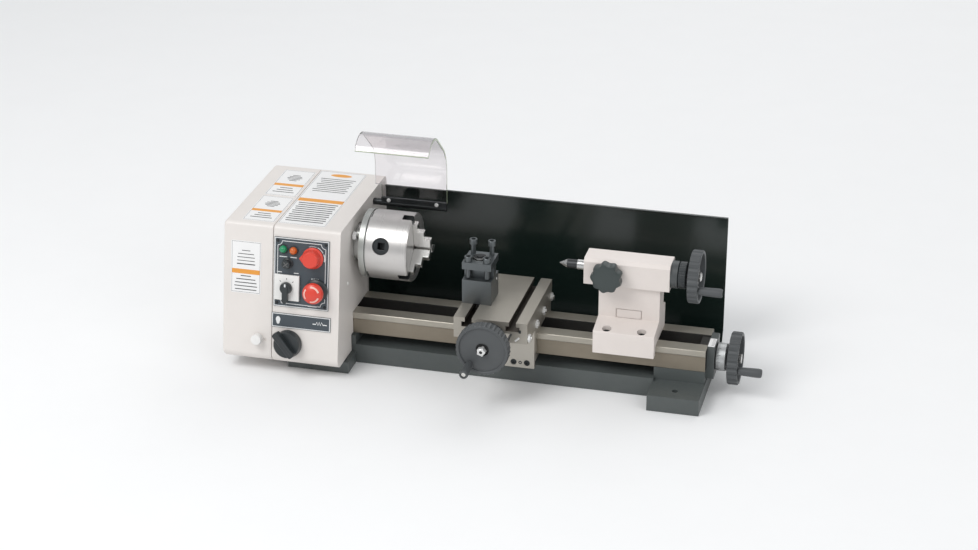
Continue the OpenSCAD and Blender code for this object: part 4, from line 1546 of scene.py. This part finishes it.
def graduations(radius: float, low: float, count: int = 60) -> Mesh:
    """Engraved-style lines round a dial, every fifth one longer.

    Args:
        radius: Radius of the dial.
        low: Where the lines start along Z.
        count: Lines round it.

    Returns:
        A new bmesh.
    """
    lines = []
    for i in range(count):
        length = 4.6 if i % 5 == 0 else 2.8
        line = bar((radius - 0.25, -0.26, low), (radius + 0.04, 0.26, low + length), 0.02)
        lines.append(shifted(line, turn=360 * i / count))
    return joined(*lines)


@dataclass
class Leadscrew:
    """Leadscrew, its bracket, dial and handwheel."""

    crank: float = -170.0
    seat: float = 15.5
    dial_radius: float = 16.0
    pad_z: float = 0.0611
    pitch: float = 3.0
    wheel: Handwheel = field(default_factory=lambda: Handwheel(dished=True, flutes=24))

    def build(self) -> None:
        """Builds the leadscrew group."""
        bracket_low, bracket_high = size_of("leadscrew_bracket")
        axis_z = joint("leadscrew_turn")["pos_m"][2]

        def pad(face: Face) -> bool:
            """Whether a face belongs to the white pad on the bracket."""
            return face.calc_center_median().z > self.pad_z

        softened("leadscrew_bracket", "frame", DARK_CAST, 0.3, 2, others=((LABEL, pad),))
        softened("leadscrew", "leadscrew", BRIGHT, 0.3, 1)
        self.thread(size_of("leadscrew")[0].x + 4, bracket_low.x - 1, axis_z)
        place = standing((1, 0, 0), ((bracket_high.x + self.seat) * MM, 0, axis_z))
        self.wheel.mount("leadscrew", "leadscrew", place, self.crank, "leadscrew_wheel")
        piece("leadscrew_wheel_nut", self.wheel.hub_nut(), "leadscrew", BRIGHT, place)
        ring = dial(self.dial_radius, -14.9, -3.6, 5.0)
        piece("leadscrew_dial", ring, "leadscrew", DIAL_STEEL, place)
        piece("leadscrew_dial_lines", graduations(self.dial_radius, -14.0), "leadscrew", INK, place)
        x, z = bracket_high.x, bracket_high.z
        marks = [
            bar((x - 4.4, y - 0.3, z - 0.03), (x - 1.2, y + 0.3, z + 0.06), 0.02) for y in range(-16, 0, 3)
        ]
        piece("index_marks", joined(*marks), "frame", INK)

    def thread(self, start: float, end: float, axis_z: float) -> None:
        """The screw's thread, as rings a pitch apart over the shaft.

        Args:
            start: Left end along X.
            end: Right end along X.
            axis_z: Height of the axis in metres.
        """
        crest = [(4.75, 0.0), (5.02, 0.7), (5.02, 2.0), (4.75, 2.7)]
        count = int((end - start) / self.pitch)
        profile = [(radius, i * self.pitch + along) for i in range(count) for radius, along in crest]
        place = standing((1, 0, 0), (start * MM, 0, axis_z))
        piece("leadscrew_thread", turned(profile, 24), "leadscrew", BRIGHT, place)


@dataclass
class Carriage:
    """Saddle, apron and cross slide with its handwheel."""

    crank: float = 233.0
    wheel: Handwheel = field(default_factory=lambda: Handwheel(shaft=4.0))
    wheel_out: float = 26.5
    screw_heads: tuple[Point, ...] = ((27.4, 27.5), (43.0, 27.5))
    slots: Point = (-16.5, 34.5)
    slot_half: float = 8.3
    slot_floor: float = 82.5
    nut_x: float = 0.05152
    nut_z: float = 0.075
    nut_y: tuple[float, ...] = (-75.0, -37.5, -2.0, 37.0)
    pin: Point = (40.0, 74.2)
    # Place of a small dark patch that paints the shade of a recess.
    recess_shade: Point = (43.0, 83.8)

    def build(self) -> None:
        """Builds the carriage."""
        softened("saddle", "carriage", GROUND_SLIDE, 0.4, 2)
        softened("apron", "carriage", APRON_FACE, 0.5, 2)
        top = size_of("cross_slide")[1].z - 0.7

        def slot(face: Face) -> bool:
            """Whether a face lies inside one of the T-slots, whose walls take painted shade.

            Args:
                face: The face, in metres.

            Returns:
                True below the slide's top and near a slot's middle.
            """
            middle = face.calc_center_median() / MM
            near = any(abs(middle.x - x) < self.slot_half for x in self.slots)
            return near and self.slot_floor < middle.z < top and abs(face.normal.y) < 0.7

        # The T-slot walls take a near-black painted shade.
        softened("cross_slide", "cross_slide", GROUND_SLIDE, 0.45, 2, others=((SLOT_SHADE, slot),))
        self.apron_screws()
        self.gib()
        self.cross_feed()
        self.front_marks()

    def apron_screws(self) -> None:
        """Two cap screws and a set screw low on the apron."""
        front = size_of("apron")[0].y
        for number, (x, z) in enumerate(self.screw_heads, 1):
            place = standing((0, -1, 0), (x * MM, (front + 2.9) * MM, z * MM))
            piece(f"apron_screw_{number}", socket_screw(3.4, 2.8, 1.7), "carriage", OXIDE_AND_SHADE, place)
        middle = sum(x for x, _ in self.screw_heads) / 2
        ring = turned([(0.9, 0.0), (2.0, 0.0), (2.0, 0.12), (0.9, 0.12)], 24, closed=True)
        dot = turned([(0, 0.0), (0.95, 0.0), (0.95, 0.05), (0, 0.05)], 24)
        place = standing((0, -1, 0), (middle * MM, front * MM + 0.00008, self.screw_heads[0][1] * MM))
        piece("apron_set_screw", joined(ring, dot), "carriage", OXIDE_AND_SHADE, place)

    def gib(self) -> None:
        """Gib strip with its screws and nuts."""
        bm = mesh_from("gib_screws")
        ease(bm, 0.3, 2, 50)
        piece("gib_hardware", bm, "cross_slide", BRIGHT, stands_for=("gib_screws",))
        for number, y in enumerate(self.nut_y, 1):
            nut = prism(arc((0, 0), 5.0, 0, 300, 5), 0, 2.7)
            ease(nut, 0.4, 2, 30)
            place = standing((1, 0, 0), (self.nut_x, y * MM, self.nut_z))
            piece(f"gib_nut_{number}", nut, "cross_slide", WHITE_METAL, place)

    def front_marks(self) -> None:
        """The slanted pin on the slide's front, and a small dark patch there that paints the shade of a
        recess.
        """
        front = size_of("cross_slide")[0].y * MM + 0.0003
        pin = shifted(bar((-3.4, -1.1, 0), (3.4, 1.1, 1.5), 0.5), turn=42)
        recess_shade = prism(rounded(2.6, 4.0, 0.4), 0, 0.5)
        for name, bm, finish, (x, z) in (
            ("slide_pin", pin, WHITE_METAL, self.pin), ("slide_recess_shade", recess_shade, OXIDE_AND_SHADE, self.recess_shade),
        ):
            piece(name, bm, "cross_slide", finish, standing((0, -1, 0), (x * MM, front, z * MM)))

    def cross_feed(self) -> None:
        """Cross screw, knurled dial, handwheel and grip."""
        spot = spot_of("cross_screw_turn")
        seat = size_of("cross_slide")[0].y - self.wheel_out
        place = standing((0, -1, 0), (spot.x * MM, seat * MM, spot.z * MM))
        self.wheel.mount("cross", "cross_screw", place, self.crank, "cross_wheel")
        shaft = turned([(0, -142.5), (3.6, -142.5), (4.0, -142.0), (4.0, 11.5), (0, 11.5)], 32)
        piece("cross_screw_shaft", shaft, "cross_screw", BRIGHT, place, stands_for=("cross_screw",))
        star = repeated(lambda: prism(arc((0, 0), 1.7, -80, 80, 8), 11.0, 16.4), 5, 3.4)
        core = turned([(0, 11.0), (4.2, 11.0), (4.2, 16.6), (3.4, 17.2), (2.0, 17.2), (1.8, 16.9)], 40)
        collar = [(4.1, -26.1), (8.6, -26.1), (9.0, -25.6), (9.0, -22.8), (4.1, -22.8)]
        # The flat near-black disc down the nut's bore is painted shade, not a part.
        for name, bm, finish in (
            ("cross_wheel_nut", joined(star, core), WHITE_METAL),
            ("cross_nut_hole_shade", turned([(1.75, 16.95), (0, 16.95)], 24), RECESS_SHADE),
            ("cross_dial", dial(19.0, -22.9, -8.6, 4.1, 0.8, 52), KNOB),
            ("cross_collar", turned(collar, 48, closed=True), DIAL_STEEL),
        ):
            piece(name, bm, "cross_screw", finish, place)


@dataclass
class ToolPost:
    """The square tool post with its clamp screws and ring nut."""

    screw_x: float = 10.8
    screw_y: float = 11.5
    raised: float = 11.5
    side_screw_z: float = 0.1165

    def build(self) -> None:
        """Builds the tool post."""
        softened("tool_post", "tool_post", POST_STEEL, 0.5, 2)
        self.screws()
        low, high = size_of("tool_post_bolt")
        axis = standing((0, 0, 1), (*((low + high) / 2 * MM).xy, 0.0))
        # The socket in the bolt's head takes a near-black painted shade.
        others = ((RECESS_SHADE, within(axis, 4.2, high.z - 3.0)),)
        softened("tool_post_bolt", "cross_slide", BRIGHT, 0.35, 2, others=others)
        corner = size_of("tool_post")[1]
        screw = turned([(0, -1.0), (1.9, -1.0), (1.9, 0.0), (1.5, 0.5), (0, 0.6)], 24)
        place = standing((1, 0, 0), (corner.x * MM, (corner.y - 8) * MM, self.side_screw_z))
        piece("post_side_screw", screw, "tool_post", BRIGHT, place)

    def screws(self) -> None:
        """Four clamp screws: two driven down in front, two raised behind."""
        low, high = size_of("tool_post")
        middle = (low + high) / 2
        screws = []
        for x in (-self.screw_x, self.screw_x):
            for y, seat, tip in ((-self.screw_y, 0.0, -20.5), (self.screw_y, self.raised, -9.0)):
                screw = joined(
                    socket_screw(4.5, 6.0, 2.7),
                    turned([(2.2, tip - seat), (2.85, tip - seat + 0.7), (2.85, 0.0)], 28),
                    turned([(0, tip - seat), (2.2, tip - seat)], 28),
                )
                screws.append(shifted(screw, middle.x + x, middle.y + y, high.z + seat))
        piece("post_screws", joined(*screws), "tool_post", POST_STEEL, stands_for=("tool_screws",))


@dataclass
class Tailstock:
    """Tailstock body, quill, lock knob and handwheel."""

    crank: float = -163.0
    wheel: Handwheel = field(default_factory=lambda: Handwheel(dished=True, flutes=24))
    wheel_out: float = 13.5
    clamp_x: Point = (132.5, 172.5)
    clamp_y: float = -0.034
    clamp_z: float = 0.0682
    collar_x: float = 199.2
    neck_x: Point = (79.4, 90.6)
    key: tuple[tuple[float, ...], ...] = ((138.9, -11.2, 81.7), (167.1, -9.7, 91.7))
    lobes: int = 9
    lobe_depth: float = 0.125
    knob_y: float = -0.020

    def build(self) -> None:
        """Builds the tailstock."""
        def collar(face: Face) -> bool:
            """Whether a face belongs to the collar at the right end."""
            return face.calc_center_median().x > self.collar_x * MM

        def neck(face: Face) -> bool:
            """Whether a face belongs to the quill's dark neck."""
            return self.neck_x[0] < face.calc_center_median().x / MM < self.neck_x[1]

        softened("tailstock", "tailstock", CREAM_CAST, 0.7, 3, others=((COLLAR, collar),))
        softened("quill", "quill", CENTRE_STEEL, 0.25, 2, others=((QUILL_NECK, neck),))
        for number, x in enumerate(self.clamp_x, 1):
            place = standing((0, 0, 1), (x * MM, self.clamp_y, self.clamp_z), up=(0, 1, 0))
            piece(f"clamp_screw_{number}", socket_screw(4.6, 5.4, 2.4), "tailstock", OXIDE_AND_SHADE, place)
        piece("column_key", bar(*self.key, 0.5), "tailstock", CREAM_CAST)
        self.lock_knob()
        self.feed()

    def lock_knob(self) -> None:
        """The lobed knob that locks the quill."""
        knob = turned([
            (0, -14.5), (2.9, -14.5), (2.9, 0.1), (15.0, 0.1), (17.4, 0.6), (18.3, 2.0), (18.4, 5.0),
            (18.3, 10.0),
            (17.2, 12.6), (14.6, 13.7), (10.0, 13.9), (0, 13.95),
        ], self.lobes * 16)
        fluted(knob, self.lobes, lambda around, z: self.lobe_depth * max(around - 12, 0.0) / 6.4)
        spot = joint("quill_lock_turn")["pos_m"]
        place = standing((0, -1, 0), (spot[0], self.knob_y, spot[2]))
        piece("lock_knob_moulding", knob, "quill_lock", LOCK, place, stands_for=("quill_lock",))

    def feed(self) -> None:
        """Quill screw with its hub nut, dial, handwheel and grip."""
        seat = size_of("tailstock")[1].x + self.wheel_out
        place = standing((1, 0, 0), (seat * MM, 0, joint("quill_screw_turn")["pos_m"][2]))
        self.wheel.mount("quill", "quill_screw", place, self.crank, "quill_screw")
        shaft = [(0, -66.0), (4.6, -66.0), (5.0, -65.6), (5.0, 11.0), (4.0, 12.0), (0, 12.0)]
        piece("quill_wheel_nut", self.wheel.hub_nut(), "quill_screw", BRIGHT, place)
        piece("quill_dial", dial(15.4, -13.0, -4.1, 5.0, 0.35, 40), "quill_screw", KNOB, place)
        piece("quill_screw_shaft", turned(shaft, 32), "quill_screw", BRIGHT, place)


# ---- Studio ----


@dataclass
class Studio:
    """Floor, lights and camera."""

    camera_at: tuple[float, float, float] = (0.5765, -2.3093, 1.2123)
    camera_looks: tuple[float, float, float] = (-0.22451, 0.87967, -0.41925)
    lens: float = 84.29
    floor_size: float = 12.0
    floor_z: float = -0.0004
    sky_colour: Rgb = (0.96, 0.98, 1.0)
    sky_power: float = 0.56
    lamps: tuple[tuple[str, tuple[float, float, float], float, float], ...] = (
        ("key", (-1.2, -1.6, 2.3), 1.5, 40.0),
        ("fill", (1.9, -1.2, 1.5), 1.8, 11.0),
        ("back", (0.4, 1.9, 2.0), 2.0, 14.0),
    )

    def build(self) -> None:
        """Builds the studio round the lathe."""
        self.floor()
        self.sky()
        for lamp in self.lamps:
            self.lamp(*lamp)
        self.camera()

    def floor(self) -> None:
        """A wide pale floor under the feet."""
        bm = bmesh.new()
        bmesh.ops.create_grid(bm, x_segments=1, y_segments=1, size=self.floor_size)
        bmesh.ops.translate(bm, vec=(0, 0, self.floor_z), verts=bm.verts)
        mesh = bpy.data.meshes.new("floor")
        bm.to_mesh(mesh)
        bm.free()
        mesh.materials.append(FLOOR.material())
        obj = bpy.data.objects.new("floor", mesh)
        bpy.context.scene.collection.objects.link(obj)

    def sky(self) -> None:
        """Even soft light from all round."""
        world = bpy.data.worlds.new("studio")
        world.use_nodes = True
        sky = world.node_tree.nodes["Background"]
        sky.inputs["Color"].default_value = (*self.sky_colour, 1.0)
        sky.inputs["Strength"].default_value = self.sky_power
        bpy.context.scene.world = world

    def lamp(self, name: str, at: tuple[float, float, float], size: float, power: float) -> None:
        """Adds a square soft light that faces the lathe.

        Args:
            name: The light's name.
            at: Its place in metres.
            size: Its side.
            power: Its power in watts.
        """
        light = bpy.data.lights.new(name, "AREA")
        light.size = size
        light.energy = power
        obj = bpy.data.objects.new(name, light)
        obj.location = at
        obj.rotation_euler = (Vector((0, 0, 0.1)) - Vector(at)).to_track_quat("-Z", "Y").to_euler()
        bpy.context.scene.collection.objects.link(obj)

    def camera(self) -> None:
        """The camera that looks down at the front from the right."""
        view = bpy.data.cameras.new("camera")
        view.sensor_width = 36.0
        view.lens = self.lens
        view.clip_end = 50.0
        obj = bpy.data.objects.new("camera", view)
        obj.location = self.camera_at
        obj.rotation_euler = Vector(self.camera_looks).to_track_quat("-Z", "Y").to_euler()
        bpy.context.scene.collection.objects.link(obj)
        bpy.context.scene.camera = obj
        bpy.context.scene.view_settings.view_transform = "Standard"


def main() -> None:
    """Builds every sub-assembly in order."""
    logging.basicConfig(level=logging.INFO, format="%(message)s")
    front = FrontFace()
    parts = (
        Headstock(front), ControlPanel(front), Chuck(), Guard(), Base(), Leadscrew(), Carriage(), ToolPost(),
        Tailstock(), Studio(),
    )
    for part in parts:
        part.build()
        log.info("built %s", type(part).__name__)


if __name__ == "__main__":
    main()
